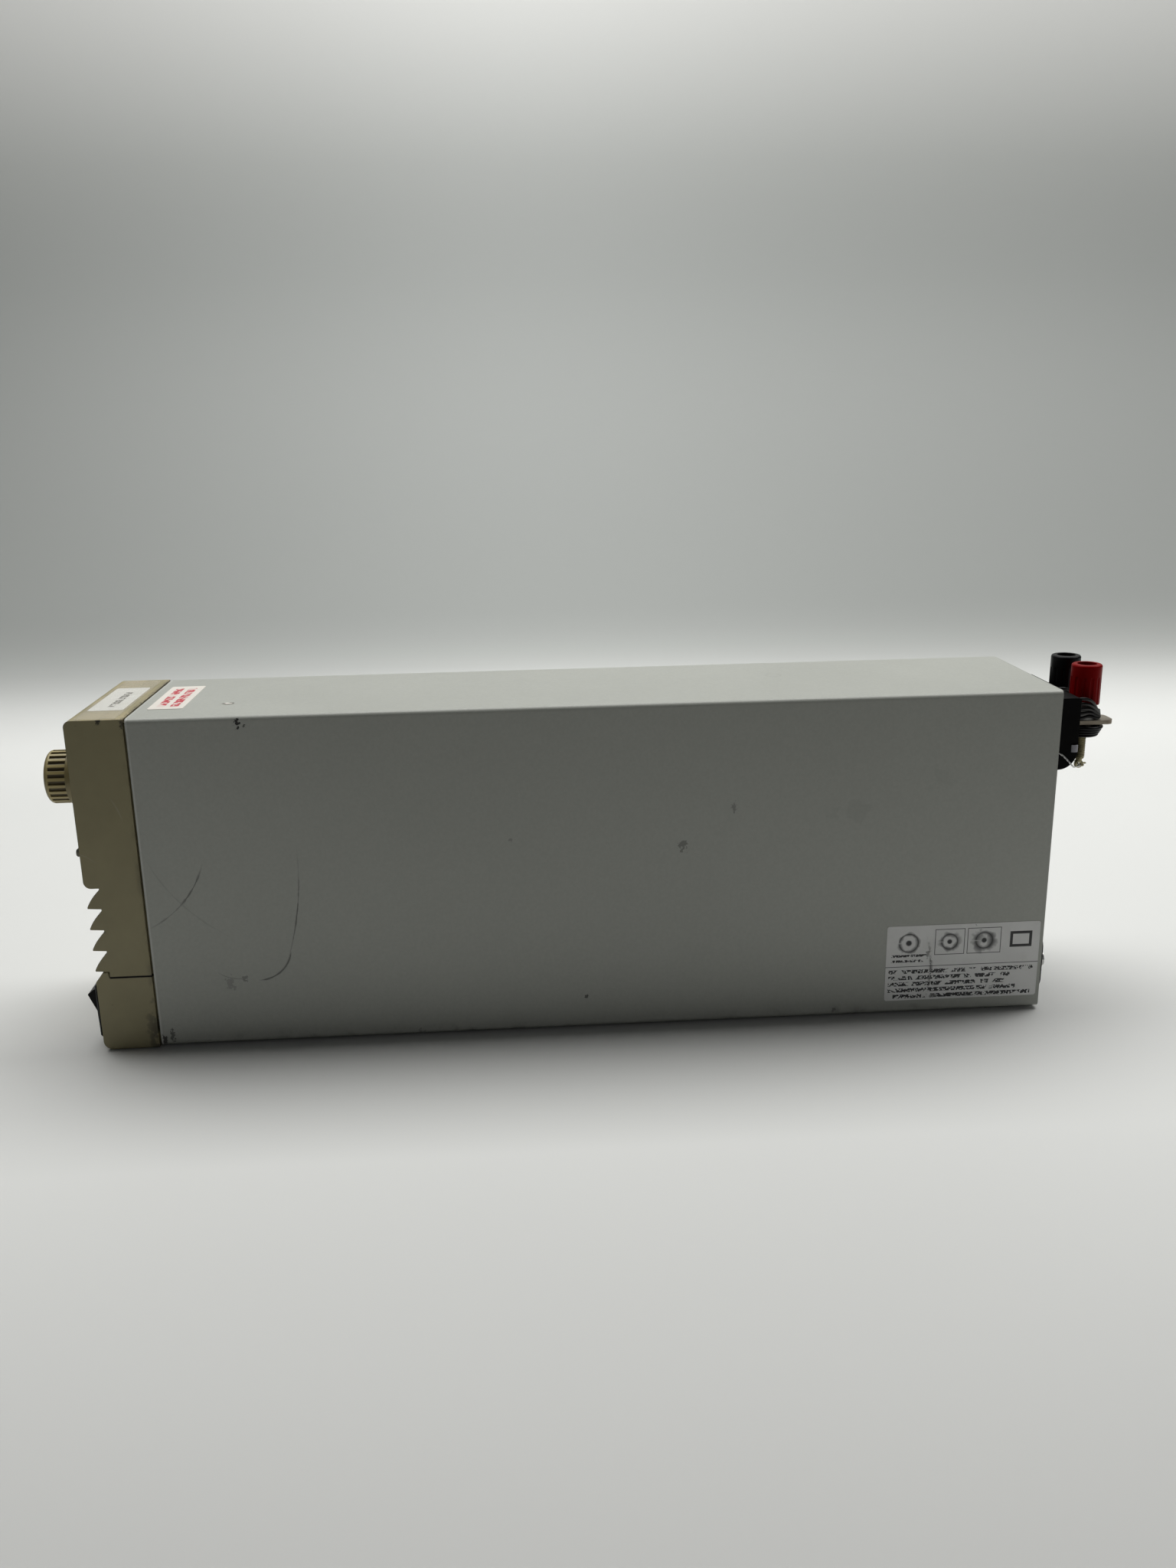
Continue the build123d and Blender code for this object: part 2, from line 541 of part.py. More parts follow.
# Ribbon cable from the display board, through the front wall, down to the main board
RIBBON = [
    (DISPLAY_Y + 1.6, BUTTON_Z + 14), (BOARD_FRONT + 3, BUTTON_Z + 14),
    (BOARD_FRONT + 3, BOARD_TOP + 12), (BOARD_FRONT + 10, BOARD_TOP + 5), (BOARD_FRONT + 10, BOARD_TOP),
]
with BuildPart() as ribbon_cable:
    with BuildSketch(along(-13.0)):
        with BuildLine():
            FilletPolyline(*RIBBON, radius=3.0)
        trace(line_width=0.9)
    extrude(amount=26.0)
save(ribbon_cable, "ribbon_cable")

# ---------------------------------------------------------------- fan
FAN_FRONT = PANEL_Y - FAN_D
with BuildPart() as fan_frame:
    slab(across(FAN_FRONT), (FAN_X, FAN_Z), (FAN_SIZE, FAN_SIZE), -FAN_D, 3.0)
    discs(across, [(FAN_X, FAN_Z)], [(FAN_BORE, FAN_FRONT - 1, PANEL_Y + 1)], -1, Mode.SUBTRACT)
    with BuildSketch(across(FAN_FRONT)):
        with Locations((FAN_X, FAN_Z)):
            Circle(9.5)
            with PolarLocations(16.5, 3, start_angle=30):
                Rectangle(15.0, 3.2)
    extrude(amount=-1.6)
    discs(across, [(FAN_X, FAN_Z)], [(3.4, FAN_FRONT, FAN_FRONT + 9)], -1)
    discs(across, [(FAN_X, FAN_Z)], [(1.55, FAN_FRONT + 1, FAN_FRONT + 10)], -1, Mode.SUBTRACT)
    with BuildSketch(across(FAN_FRONT - 1)):
        with Locations((FAN_X, FAN_Z)):
            with GridLocations(FAN_PITCH, FAN_PITCH, 2, 2):
                Circle(2.0)
    extrude(amount=-(FAN_D + 2), mode=Mode.SUBTRACT)
save(fan_frame, "fan_frame")

with BuildPart() as fan_rotor:
    discs(across, [(FAN_X, FAN_Z)], [(10.0, FAN_FRONT + 2.4, PANEL_Y - 0.8)], -1)
    fillet(fan_rotor.edges().group_by(Axis.Y)[-1], 1.0)
    discs(across, [(FAN_X, FAN_Z)], [(8.6, FAN_FRONT, PANEL_Y - 2.4)], -1, Mode.SUBTRACT)
    discs(across, [(FAN_X, FAN_Z)], [(1.5, FAN_FRONT + 1.3, PANEL_Y - 2.0)], -1)
    for blade in range(7):
        turn = 2 * pi * blade / 7
        root = (FAN_X + 9.4 * cos(turn), PANEL_Y - 6.6, FAN_Z + 9.4 * sin(turn))
        with BuildSketch(Plane(root, x_dir=(0, 1, 0), z_dir=(cos(turn), 0, sin(turn)))):
            Rectangle(1.3, 11.0, rotation=42)
        extrude(amount=12.8)
save(fan_rotor, "fan_rotor")

GUARD_Y = REAR_Y - 0.4 + 0.7
with BuildPart() as fan_guard:
    for ring_r in (7.0, 12.0, 17.0, 22.0):
        with BuildSketch(Plane((FAN_X, GUARD_Y, FAN_Z), x_dir=(1, 0, 0), z_dir=(0, 0, 1))):
            with Locations((ring_r, 0)):
                Circle(0.7)
        revolve(axis=Axis((FAN_X, GUARD_Y, FAN_Z), (0, 1, 0)))
    for quarter in range(4):
        turn = pi / 4 + quarter * pi / 2
        root = (FAN_X + 6.6 * cos(turn), GUARD_Y + 0.6, FAN_Z + 6.6 * sin(turn))
        with BuildSketch(Plane(root, x_dir=(0, 1, 0), z_dir=(cos(turn), 0, sin(turn)))):
            Circle(0.7)
        extrude(amount=FAN_PITCH / sqrt(2) - 6.6 - 2.6)
    with BuildSketch(across(GUARD_Y - 0.7)):
        with Locations((FAN_X, FAN_Z)):
            with GridLocations(FAN_PITCH, FAN_PITCH, 2, 2):
                Circle(3.6)
                Circle(2.0, mode=Mode.SUBTRACT)
    extrude(amount=-2.0)
save(fan_guard, "fan_guard")

FAN_SCREWS = [(FAN_X + x, FAN_Z + z) for x, z in grid((-20.0, 20.0), (-20.0, 20.0))]
save_discs("fan_screws", across, FAN_SCREWS,
           [(1.9, PANEL_Y - 10, GUARD_Y + 1.3), (3.2, GUARD_Y + 1.3, GUARD_Y + 3.0)], -1)

# ---------------------------------------------------------------- mains inlet, jacks, sense block, earth
INLET_BACK = REAR_Y - 0.4
INLET_FACE = INLET_BACK + 3.0
INLET_CAVITY = 16.5
with BuildPart() as mains_inlet:
    slab(across(INLET_BACK), (INLET_X, INLET_Z), (50.0, 22.4), -3.0, 5.0)
    slab(across(INLET_FACE - INLET_CAVITY - 2), (INLET_X, INLET_Z), (27.6, 20.0), -(INLET_CAVITY - 1), 1.0)
    with BuildSketch(across(INLET_FACE + 1)) as socket_mouth:
        with Locations((INLET_X, INLET_Z)):
            Rectangle(24.4, 16.6)
        chamfer(socket_mouth.vertices().group_by(Axis.Y)[-1], 4.0)
    extrude(amount=INLET_CAVITY + 1, mode=Mode.SUBTRACT)
    discs(across, [(INLET_X - 20, INLET_Z), (INLET_X + 20, INLET_Z)],
          [(1.7, INLET_BACK - 1, INLET_FACE + 1)], -1, Mode.SUBTRACT)
save(mains_inlet, "mains_inlet")

with BuildPart() as inlet_pins:
    for x, z in ((-7.0, -2.0), (0.0, 2.0), (7.0, -2.0)):
        slab(across(INLET_FACE - INLET_CAVITY), (INLET_X + x, INLET_Z + z), (2.0, 4.0), -11.0, 0.4)
save(inlet_pins, "inlet_pins")

INLET_FIXINGS = [(INLET_X - INLET_SCREWS / 2, INLET_Z), (INLET_X + INLET_SCREWS / 2, INLET_Z)]
INLET_SCREW = [(1.5, PANEL_Y - 4, INLET_FACE), (2.8, INLET_FACE, INLET_FACE + 1.8)]
LIP_SCREW = [(2.75, 0.3, FOOT_H), (1.5, FOOT_H, FLOOR_Z + PLATE_T)]

# M3 pan-head screws: under the lips, behind the bezels, on the board and at the inlet
with BuildPart() as m3_screws:
    discs(level, LIP_SCREWS, LIP_SCREW)
    discs(level, STANDOFFS, BOARD_SCREW)
    discs(across, UPPER_BOSSES + LOWER_BOSSES, BEZEL_SCREW, -1)
    discs(across, INLET_FIXINGS, INLET_SCREW, -1)
save(m3_screws, "m3_screws")

with BuildPart() as comm_jacks:
    for z in JACK_ZS:
        slab(across(PANEL_Y - 14), (JACK_X, z), (13.4, 15.8), -(14 + PLATE_T + 0.8), 0.5)
        slab(across(REAR_Y + 1), (JACK_X - 0.8, z), (7.0, 11.8), 13.5, mode=Mode.SUBTRACT)
        slab(across(REAR_Y + 1), (JACK_X + 3.9, z), (2.6, 6.0), 13.5, mode=Mode.SUBTRACT)
save(comm_jacks, "comm_jacks")

with BuildPart() as sense_block:
    slab(across(PANEL_Y - 8), (JACK_X, SENSE_Z), (8.4, 19.0), -(8 + PLATE_T + 2.2), 0.4)
    with BuildSketch(across(REAR_Y + 3)):
        with Locations((JACK_X - 1.4, SENSE_Z)):
            with GridLocations(1, 3.6, 1, 5):
                Circle(1.15)
    extrude(amount=7.0, mode=Mode.SUBTRACT)
save(sense_block, "sense_block")

with BuildPart() as earth_stud:
    discs(across, [EARTH], [(2.0, PANEL_Y - 5, REAR_Y + 8.5), (4.2, REAR_Y - 0.4, REAR_Y + 0.4)], -1)
    with BuildSketch(across(REAR_Y + 0.4)):
        with Locations(EARTH):
            RegularPolygon(4.0, 6)
    extrude(amount=-3.0)
save(earth_stud, "earth_stud")

# ---------------------------------------------------------------- output terminals
HOUSING_Z = FOOT_H + 91.0
HOUSING_TOP = FOOT_H + 118.3
with BuildPart() as housing:
    with BuildSketch(along(-HOUSING_W / 2)) as housing_side:
        with BuildLine():
            Polyline(
                (REAR_Y - 0.4, HOUSING_Z), (REAR_Y + HOUSING_D, HOUSING_Z),
                (REAR_Y + HOUSING_D, HOUSING_TOP), (REAR_Y - 0.4, HOUSING_TOP), close=True,
            )
        make_face()
        outer = housing_side.vertices().group_by(Axis.X)[-1].sort_by(Axis.Y)
        fillet(outer[0], 7.0)
        fillet(housing_side.vertices().group_by(Axis.X)[-1].sort_by(Axis.Y)[-1], 0.8)
    extrude(amount=HOUSING_W)
    # Hollow behind the face, open towards the panel
    slab(across(REAR_Y - 1), (0, HOUSING_Z + 16.0), (HOUSING_W - 4, 20.0), -(HOUSING_D - 1.2),
         mode=Mode.SUBTRACT)
    for x in POST_XS.values():
        slab(across(REAR_Y), (x, BAR_Z + BAR_T / 2), (BAR_W + 0.3, BAR_T + 0.3), -20.0, mode=Mode.SUBTRACT)
save(housing, "terminal_housing")

NECK_TOP = FOOT_H + 113.0
POST_TOP = FOOT_H + 125.0
CAP_LOW = FOOT_H + 113.4
CAP_TOP = FOOT_H + 128.6
CAP_R = 5.6
INSERT_LOW = CAP_LOW + 1.0
INSERT_TOP = CAP_LOW + 8.0
POST_R = 3.0
STUD_R = 2.0
EYE_Z = FOOT_H + 89.4
STUD_LOW = FOOT_H + 91.6
LEAD_R = 0.7

POSTS = [(x, POST_Y) for x in POST_XS.values()]
BAR_END_Y = REAR_Y + TAB_REACH
SOLDER_T = 0.1                    # gap left for the solder between a riser and its bar

for pole, x in POST_XS.items():
    with BuildPart() as bar:
        slab(level(BAR_Z), (x, (BAR_LEG_Y + BAR_END_Y) / 2), (BAR_W, BAR_END_Y - BAR_LEG_Y), BAR_T)
        fillet(bar.edges().filter_by(Axis.Z).group_by(Axis.Y)[-1], 2.6)
        # Riser from the board, soldered under the bar
        slab(level(BOARD_TOP), (x, BAR_LEG_Y + BAR_T / 2), (BAR_W, BAR_T), BAR_Z - SOLDER_T - BOARD_TOP)
        discs(level, [(x, POST_Y)], [(STUD_R + 0.1, BAR_Z - 1, BAR_Z + 3)], mode=Mode.SUBTRACT)
    save(bar, f"busbar_{pole}")

    with BuildPart() as insert:
        discs(level, [(x, POST_Y)], [(4.0, INSERT_LOW, INSERT_TOP)])
        discs(level, [(x, POST_Y)], [(POST_R + 0.05, INSERT_LOW - 1, INSERT_TOP + 1)], mode=Mode.SUBTRACT)
    save(insert, f"cap_insert_{pole}")

    with BuildPart() as cap:
        discs(level, [(x, POST_Y)], [(CAP_R, CAP_LOW, CAP_TOP)])
        fillet(cap.edges().group_by(Axis.Z)[-1], 0.9)
        discs(level, [(x, POST_Y)],
              [(3.6, CAP_LOW - 1, CAP_TOP + 1), (4.05, CAP_LOW - 1, INSERT_TOP + 0.1)], mode=Mode.SUBTRACT)
        # Shallow grip flutes down the lower part
        with BuildSketch(level(CAP_LOW - 1)):
            with Locations((x, POST_Y)):
                with PolarLocations(CAP_R + 0.95, 12):
                    Circle(1.2)
        extrude(amount=11.5, mode=Mode.SUBTRACT)
    save(cap, f"cap_{pole}")

# Posts: solder eye, stud through the bar, and the socket above it
with BuildPart() as binding_posts:
    discs(level, POSTS, [
        (1.2, EYE_Z + 1.2, STUD_LOW), (STUD_R, STUD_LOW, BAR_Z + BAR_T), (POST_R, BAR_Z + BAR_T, POST_TOP),
    ])
    discs(level, POSTS, [(2.0, POST_TOP - 14, POST_TOP + 1)], mode=Mode.SUBTRACT)
    for x, y in POSTS:
        with BuildSketch(along(x - 0.7)):
            with Locations((y, EYE_Z)):
                Circle(1.7)
        extrude(amount=1.4)
        with BuildSketch(along(x - 1.3)):
            with Locations((y, EYE_Z)):
                Circle(0.75)
        extrude(amount=2.6, mode=Mode.SUBTRACT)
save(binding_posts, "binding_posts")

with BuildPart() as post_necks:
    discs(level, POSTS, [(4.7, BAR_Z + BAR_T, NECK_TOP)])
    discs(level, POSTS, [(POST_R, BAR_Z, NECK_TOP + 1)], mode=Mode.SUBTRACT)
save(post_necks, "post_necks")

# Leads wound round the necks, each with its two ends running back to the housing
LEAD_TURNS = 2.5
LEAD_PITCH = 1.5
WRAP_R = 4.7 + LEAD_R + 0.1
LEAD_RUN = POST_Y - REAR_Y - HOUSING_D - 0.15
LEAD_Z = BAR_Z + BAR_T + LEAD_R + 0.1
with BuildPart() as sense_leads:
    for x, y in POSTS:
        with BuildLine() as lead_path:
            coil = Helix(LEAD_PITCH, LEAD_PITCH * LEAD_TURNS, WRAP_R, center=(x, y, LEAD_Z))
            tail_in = Line(coil @ 0 - (coil % 0) * LEAD_RUN, coil @ 0)
            Line(coil @ 1, coil @ 1 + (coil % 1) * LEAD_RUN)
        with BuildSketch(Plane(tail_in @ 0, z_dir=tail_in % 0)):
            Circle(LEAD_R)
        sweep(path=lead_path.line)
save(sense_leads, "sense_leads")

with BuildPart() as post_nuts:
    for x in POST_XS.values():
        with BuildSketch(level(BAR_Z - 2.2)):
            with Locations((x, POST_Y)):
                RegularPolygon(4.0, 6)
                Circle(STUD_R, mode=Mode.SUBTRACT)
        extrude(amount=2.2)
save(post_nuts, "post_nuts")

# Bare wire from the panel, round the housing's side and foot, to the near post's eye
EYE_X = POST_XS["positive"]
WIRE_R = 0.35
WIRE_X = HOUSING_W / 2 + 1.2
with BuildPart() as eye_wire:
    with BuildLine() as wire_path:
        FilletPolyline(
            (WIRE_X, REAR_Y - 0.4, EYE_Z + 9.0), (WIRE_X, REAR_Y + 4.6, EYE_Z + 9.0),
            (WIRE_X - 0.4, REAR_Y + 10.6, EYE_Z + 3.0), (EYE_X + 3.4, POST_Y, EYE_Z),
            (EYE_X - 2.2, POST_Y, EYE_Z),
            radius=2.0,
        )
    with BuildSketch(Plane(wire_path.line @ 0, z_dir=wire_path.line % 0)):
        Circle(WIRE_R)
    sweep(path=wire_path.line)
save(eye_wire, "eye_wire")

# Small curled tag stuck to the housing's side
TAG_T = 0.3
TAG_X = HOUSING_W / 2 + TAG_T / 2
with BuildPart() as wire_tag:
    with BuildSketch(level(EYE_Z + 8.4)) as tag_section:
        with BuildLine():
            ThreePointArc((TAG_X, REAR_Y + 9.9), (TAG_X + 0.5, REAR_Y + 11.2), (TAG_X + 0.1, REAR_Y + 12.2))
        trace(line_width=TAG_T)
    extrude(tag_section.sketch, amount=2.8)
save(wire_tag, "wire_tag")

# ---------------------------------------------------------------- stickers
LABEL_T = 0.12


def save_label(name, plane, centre, size):
    """A thin sticker with rounded corners."""
    with BuildPart() as label:
        slab(plane, centre, size, LABEL_T, 1.0)
    save(label, name)


save_label("rating_label", along(CASE_W / 2), (SEAM_Y + 301.1, FOOT_H + 20.2), (59.0, 30.4))
save_label("service_label", level(TOP_Z), (0.4, SEAM_Y + 10.2), (39.9, 12.6))
save_label("asset_label", level(TOP_Z), (0.2, SEAM_Y - 10.75), (39.5, 12.5))
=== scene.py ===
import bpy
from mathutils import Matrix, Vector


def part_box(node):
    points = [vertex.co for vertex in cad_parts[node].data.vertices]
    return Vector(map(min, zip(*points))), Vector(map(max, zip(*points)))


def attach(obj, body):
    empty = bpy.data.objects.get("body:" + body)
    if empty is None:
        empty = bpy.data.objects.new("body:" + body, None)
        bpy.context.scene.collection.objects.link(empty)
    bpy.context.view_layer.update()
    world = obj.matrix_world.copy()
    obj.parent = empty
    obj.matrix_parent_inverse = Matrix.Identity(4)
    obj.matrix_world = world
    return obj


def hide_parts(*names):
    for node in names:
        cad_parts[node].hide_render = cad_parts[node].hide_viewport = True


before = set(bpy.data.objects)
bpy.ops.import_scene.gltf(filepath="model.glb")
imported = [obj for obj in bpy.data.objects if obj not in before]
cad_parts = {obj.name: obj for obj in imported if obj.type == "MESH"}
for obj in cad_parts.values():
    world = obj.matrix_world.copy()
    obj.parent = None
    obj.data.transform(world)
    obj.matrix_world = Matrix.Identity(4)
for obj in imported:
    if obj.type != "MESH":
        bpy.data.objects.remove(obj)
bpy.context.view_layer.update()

from math import cos, floor, pi, radians, sin

import bmesh
import bpy
from mathutils import Vector

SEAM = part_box("cover")[0][1]            # front edge of the cover
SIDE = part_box("cover")[1][0]            # its near side
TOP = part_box("cover")[1][2]             # its top
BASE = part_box("cover")[0][2]            # its underside
POST_R = 0.003                          # binding post
POST_BORE_R = 0.002                     # plug socket in its top
POST_BORE_DEPTH = 0.014
STUD_R = 0.002                          # threaded stud under it
THREAD_DEPTH = 0.00035
THREAD_PITCH = 0.0007
EYE_R = 0.0017                          # solder eye at the stud's foot
EYE_HOLE_R = 0.00062
EYE_THICK = 0.0014
LEAD_R = 0.00062                        # one strand of a sense lead
STRAND_R = 0.0002                       # one strand of the bare twisted wire


def mm(*values):
    """Millimetres as metres."""
    return tuple(v / 1000 for v in values)


# ---------------------------------------------------------------- camera, light and floor
def add_camera():
    """Camera beside the front half of the case and a little above it, at the photograph's angle."""
    data = bpy.data.cameras.new("camera")
    data.lens = 29.98
    data.sensor_width = 36.0
    data.clip_start = 0.01
    camera = bpy.data.objects.new("camera", data)
    camera.location = (0.48341, SEAM + 0.13211, BASE + 0.22394)
    camera.rotation_euler = (radians(74.01), radians(0.95), radians(86.19))
    bpy.context.scene.collection.objects.link(camera)
    bpy.context.scene.camera = camera


def add_light(name, place, aim, size, power, colour=(1.0, 1.0, 1.0)):
    """A soft area light that faces a point."""
    data = bpy.data.lights.new(name, "AREA")
    data.shape = "RECTANGLE"
    data.size, data.size_y = size
    data.energy = power
    data.color = colour
    lamp = bpy.data.objects.new(name, data)
    lamp.location = place
    lamp.rotation_euler = (Vector(aim) - Vector(place)).to_track_quat("-Z", "Y").to_euler()
    bpy.context.scene.collection.objects.link(lamp)


def mesh_object(name, verts, faces, smooth=True):
    """A new object from plain lists of vertices and faces."""
    data = bpy.data.meshes.new(name)
    data.from_pydata([tuple(v) for v in verts], [], faces)
    data.validate()
    made = bmesh.new()
    made.from_mesh(data)
    bmesh.ops.remove_doubles(made, verts=made.verts, dist=1e-7)
    bmesh.ops.recalc_face_normals(made, faces=made.faces)
    made.to_mesh(data)
    made.free()
    if smooth:
        data.shade_smooth()
    piece = bpy.data.objects.new(name, data)
    bpy.context.scene.collection.objects.link(piece)
    return piece


def add_stage(material):
    """Pale floor that curves up into a backdrop on the far side."""
    near, start, bend, height, half_width = 1.6, -0.66, 0.5, 2.6, 2.2
    profile = [(near, 0.0), (start, 0.0)]
    for step in range(1, 19):
        turn = radians(5 * step)
        profile.append((start - bend * sin(turn), bend * (1 - cos(turn))))
    profile.append((start - bend, height))
    verts = [(x, y, z) for x, z in profile for y in (-half_width, half_width)]
    faces = [(2 * k, 2 * k + 1, 2 * k + 3, 2 * k + 2) for k in range(len(profile) - 1)]
    backdrop = mesh_object("backdrop", verts, faces)
    backdrop.data.materials.append(material)


# ---------------------------------------------------------------- material kit
class Surface:
    """One procedural material: a Principled shader and the nodes that drive it."""

    def __init__(self, name, colour, roughness, metallic=0.0, **constants):
        self.material = bpy.data.materials.new(f"{name}_look")
        self.material.use_nodes = True
        self.tree = self.material.node_tree
        self.shader = self.tree.nodes["Principled BSDF"]
        self.set("Base Color", (*colour, 1.0))
        self.set("Roughness", roughness)
        self.set("Metallic", metallic)
        for socket, value in constants.items():
            self.set(socket.replace("_", " "), value)
        self.place = self.node("TexCoord").outputs["Object"]
        self.colour = (*colour, 1.0)
        self.normal = None

    def node(self, kind, **settings):
        made = self.tree.nodes.new("ShaderNode" + kind)
        for key, value in settings.items():
            setattr(made, key, value)
        return made

    def put(self, socket, value):
        if isinstance(value, bpy.types.NodeSocket):
            self.tree.links.new(value, socket)
        else:
            socket.default_value = value

    def set(self, socket, value):
        self.put(self.shader.inputs[socket], value)

    def math(self, operation, a, b=0.0, clamp=False):
        made = self.node("Math", operation=operation, use_clamp=clamp)
        self.put(made.inputs[0], a)
        self.put(made.inputs[1], b)
        return made.outputs[0]

    def ramp(self, value, low, high, to_low=0.0, to_high=1.0):
        """Smooth step of value from low to high."""
        made = self.node("MapRange", interpolation_type="SMOOTHSTEP")
        for socket, v in zip(made.inputs, (value, low, high, to_low, to_high)):
            self.put(socket, v)
        return made.outputs[0]

    def axes(self):
        made = self.node("SeparateXYZ")
        self.put(made.inputs[0], self.place)
        return made.outputs

    def noise(self, scale, detail=3.0, roughness=0.55, stretch=None):
        place = self.place
        if stretch:
            mapping = self.node("Mapping")
            self.put(mapping.inputs["Vector"], place)
            mapping.inputs["Scale"].default_value = stretch
            place = mapping.outputs[0]
        made = self.node("TexNoise")
        self.put(made.inputs["Vector"], place)
        made.inputs["Scale"].default_value = scale
        made.inputs["Detail"].default_value = detail
        made.inputs["Roughness"].default_value = roughness
        return made.outputs[0]

    def cells(self, scale, feature="F1"):
        made = self.node("TexVoronoi", feature=feature)
        self.put(made.inputs["Vector"], self.place)
        made.inputs["Scale"].default_value = scale
        return made.outputs[0]

    def blend(self, mask, over):
        """Lay a colour over the surface's colour where mask is 1."""
        made = self.node("Mix", data_type="RGBA")
        self.put(made.inputs[0], mask)
        self.put(made.inputs[6], self.colour)
        self.put(made.inputs[7], (*over, 1.0))
        self.colour = made.outputs[2]
        self.set("Base Color", self.colour)

    def vary(self, scale, amount, detail=4.0, stretch=None):
        """Lighten and darken the colour by a share, in patches."""
        made = self.node("HueSaturation")
        patches = self.noise(scale, detail, 0.6, stretch)
        self.put(made.inputs["Value"], self.ramp(patches, 0.25, 0.75, 1 - amount, 1 + amount))
        self.put(made.inputs["Color"], self.colour)
        self.colour = made.outputs[0]
        self.set("Base Color", self.colour)

    def round_edges(self, radius):
        """Soften the look of sharp edges, and keep the softened normal for the bumps."""
        made = self.node("Bevel", samples=4)
        made.inputs["Radius"].default_value = radius
        self.normal = made.outputs[0]
        self.set("Normal", self.normal)

    def edge_mask(self, radius, low=0.02, high=0.25):
        """1 on convex and concave edges, 0 on flats."""
        bevel = self.node("Bevel", samples=4)
        bevel.inputs["Radius"].default_value = radius
        flat = self.node("NewGeometry")
        dot = self.node("VectorMath", operation="DOT_PRODUCT")
        self.put(dot.inputs[0], bevel.outputs[0])
        self.put(dot.inputs[1], flat.outputs["Normal"])
        return self.ramp(self.math("SUBTRACT", 1.0, dot.outputs["Value"]), low, high)

    def bump(self, height, depth, strength=1.0):
        """Raise the surface by up to depth metres where height is 1."""
        made = self.node("Bump")
        made.inputs["Strength"].default_value = strength
        made.inputs["Distance"].default_value = depth
        self.put(made.inputs["Height"], height)
        if self.normal is not None:
            self.put(made.inputs["Normal"], self.normal)
        self.normal = made.outputs[0]
        self.set("Normal", self.normal)

    def gloss(self, mask, low, high):
        self.set("Roughness", self.ramp(mask, 0.2, 0.8, low, high))

    def length(self, u, v):
        """Length of the vector (u, v)."""
        return self.math("SQRT", self.math("ADD", self.math("MULTIPLY", u, u), self.math("MULTIPLY", v, v)))

    def arc(self, first, second, centre, radius, start, end, width):
        """Mask of a circular arc in the plane of two coordinates, from start to end in degrees."""
        u = self.math("SUBTRACT", first, centre[0])
        v = self.math("SUBTRACT", second, centre[1])
        away = self.length(u, v)
        off = self.math("ABSOLUTE", self.math("SUBTRACT", away, radius))
        wobble = self.ramp(self.noise(260.0, 2.0), 0.3, 0.7, 0.35 * width, 1.25 * width)
        line = self.math("SUBTRACT", 1.0, self.math("DIVIDE", off, wobble), clamp=True)
        turn = self.math("ARCTAN2", v, u)
        fade = radians(7.0)
        inside = self.math("MULTIPLY", self.ramp(turn, radians(start) - fade, radians(start) + fade),
                           self.ramp(turn, radians(end) + fade, radians(end) - fade))
        return self.math("MULTIPLY", line, inside)

    def spot(self, first, second, centre, radius, stretch=1.0, ragged=0.5):
        """Mask of a ragged spot."""
        u = self.math("SUBTRACT", first, centre[0])
        v = self.math("MULTIPLY", self.math("SUBTRACT", second, centre[1]), 1.0 / stretch)
        away = self.length(u, v)
        rough = self.ramp(self.noise(0.9 / radius, 3.0), 0.3, 0.7, -ragged * radius, ragged * radius)
        return self.ramp(self.math("ADD", away, rough), radius, 0.55 * radius)


def band(surface, value, low, high, soft):
    """Mask of low < value < high."""
    return surface.math("MULTIPLY", surface.ramp(value, low - soft, low + soft),
                        surface.ramp(value, high + soft, high - soft))


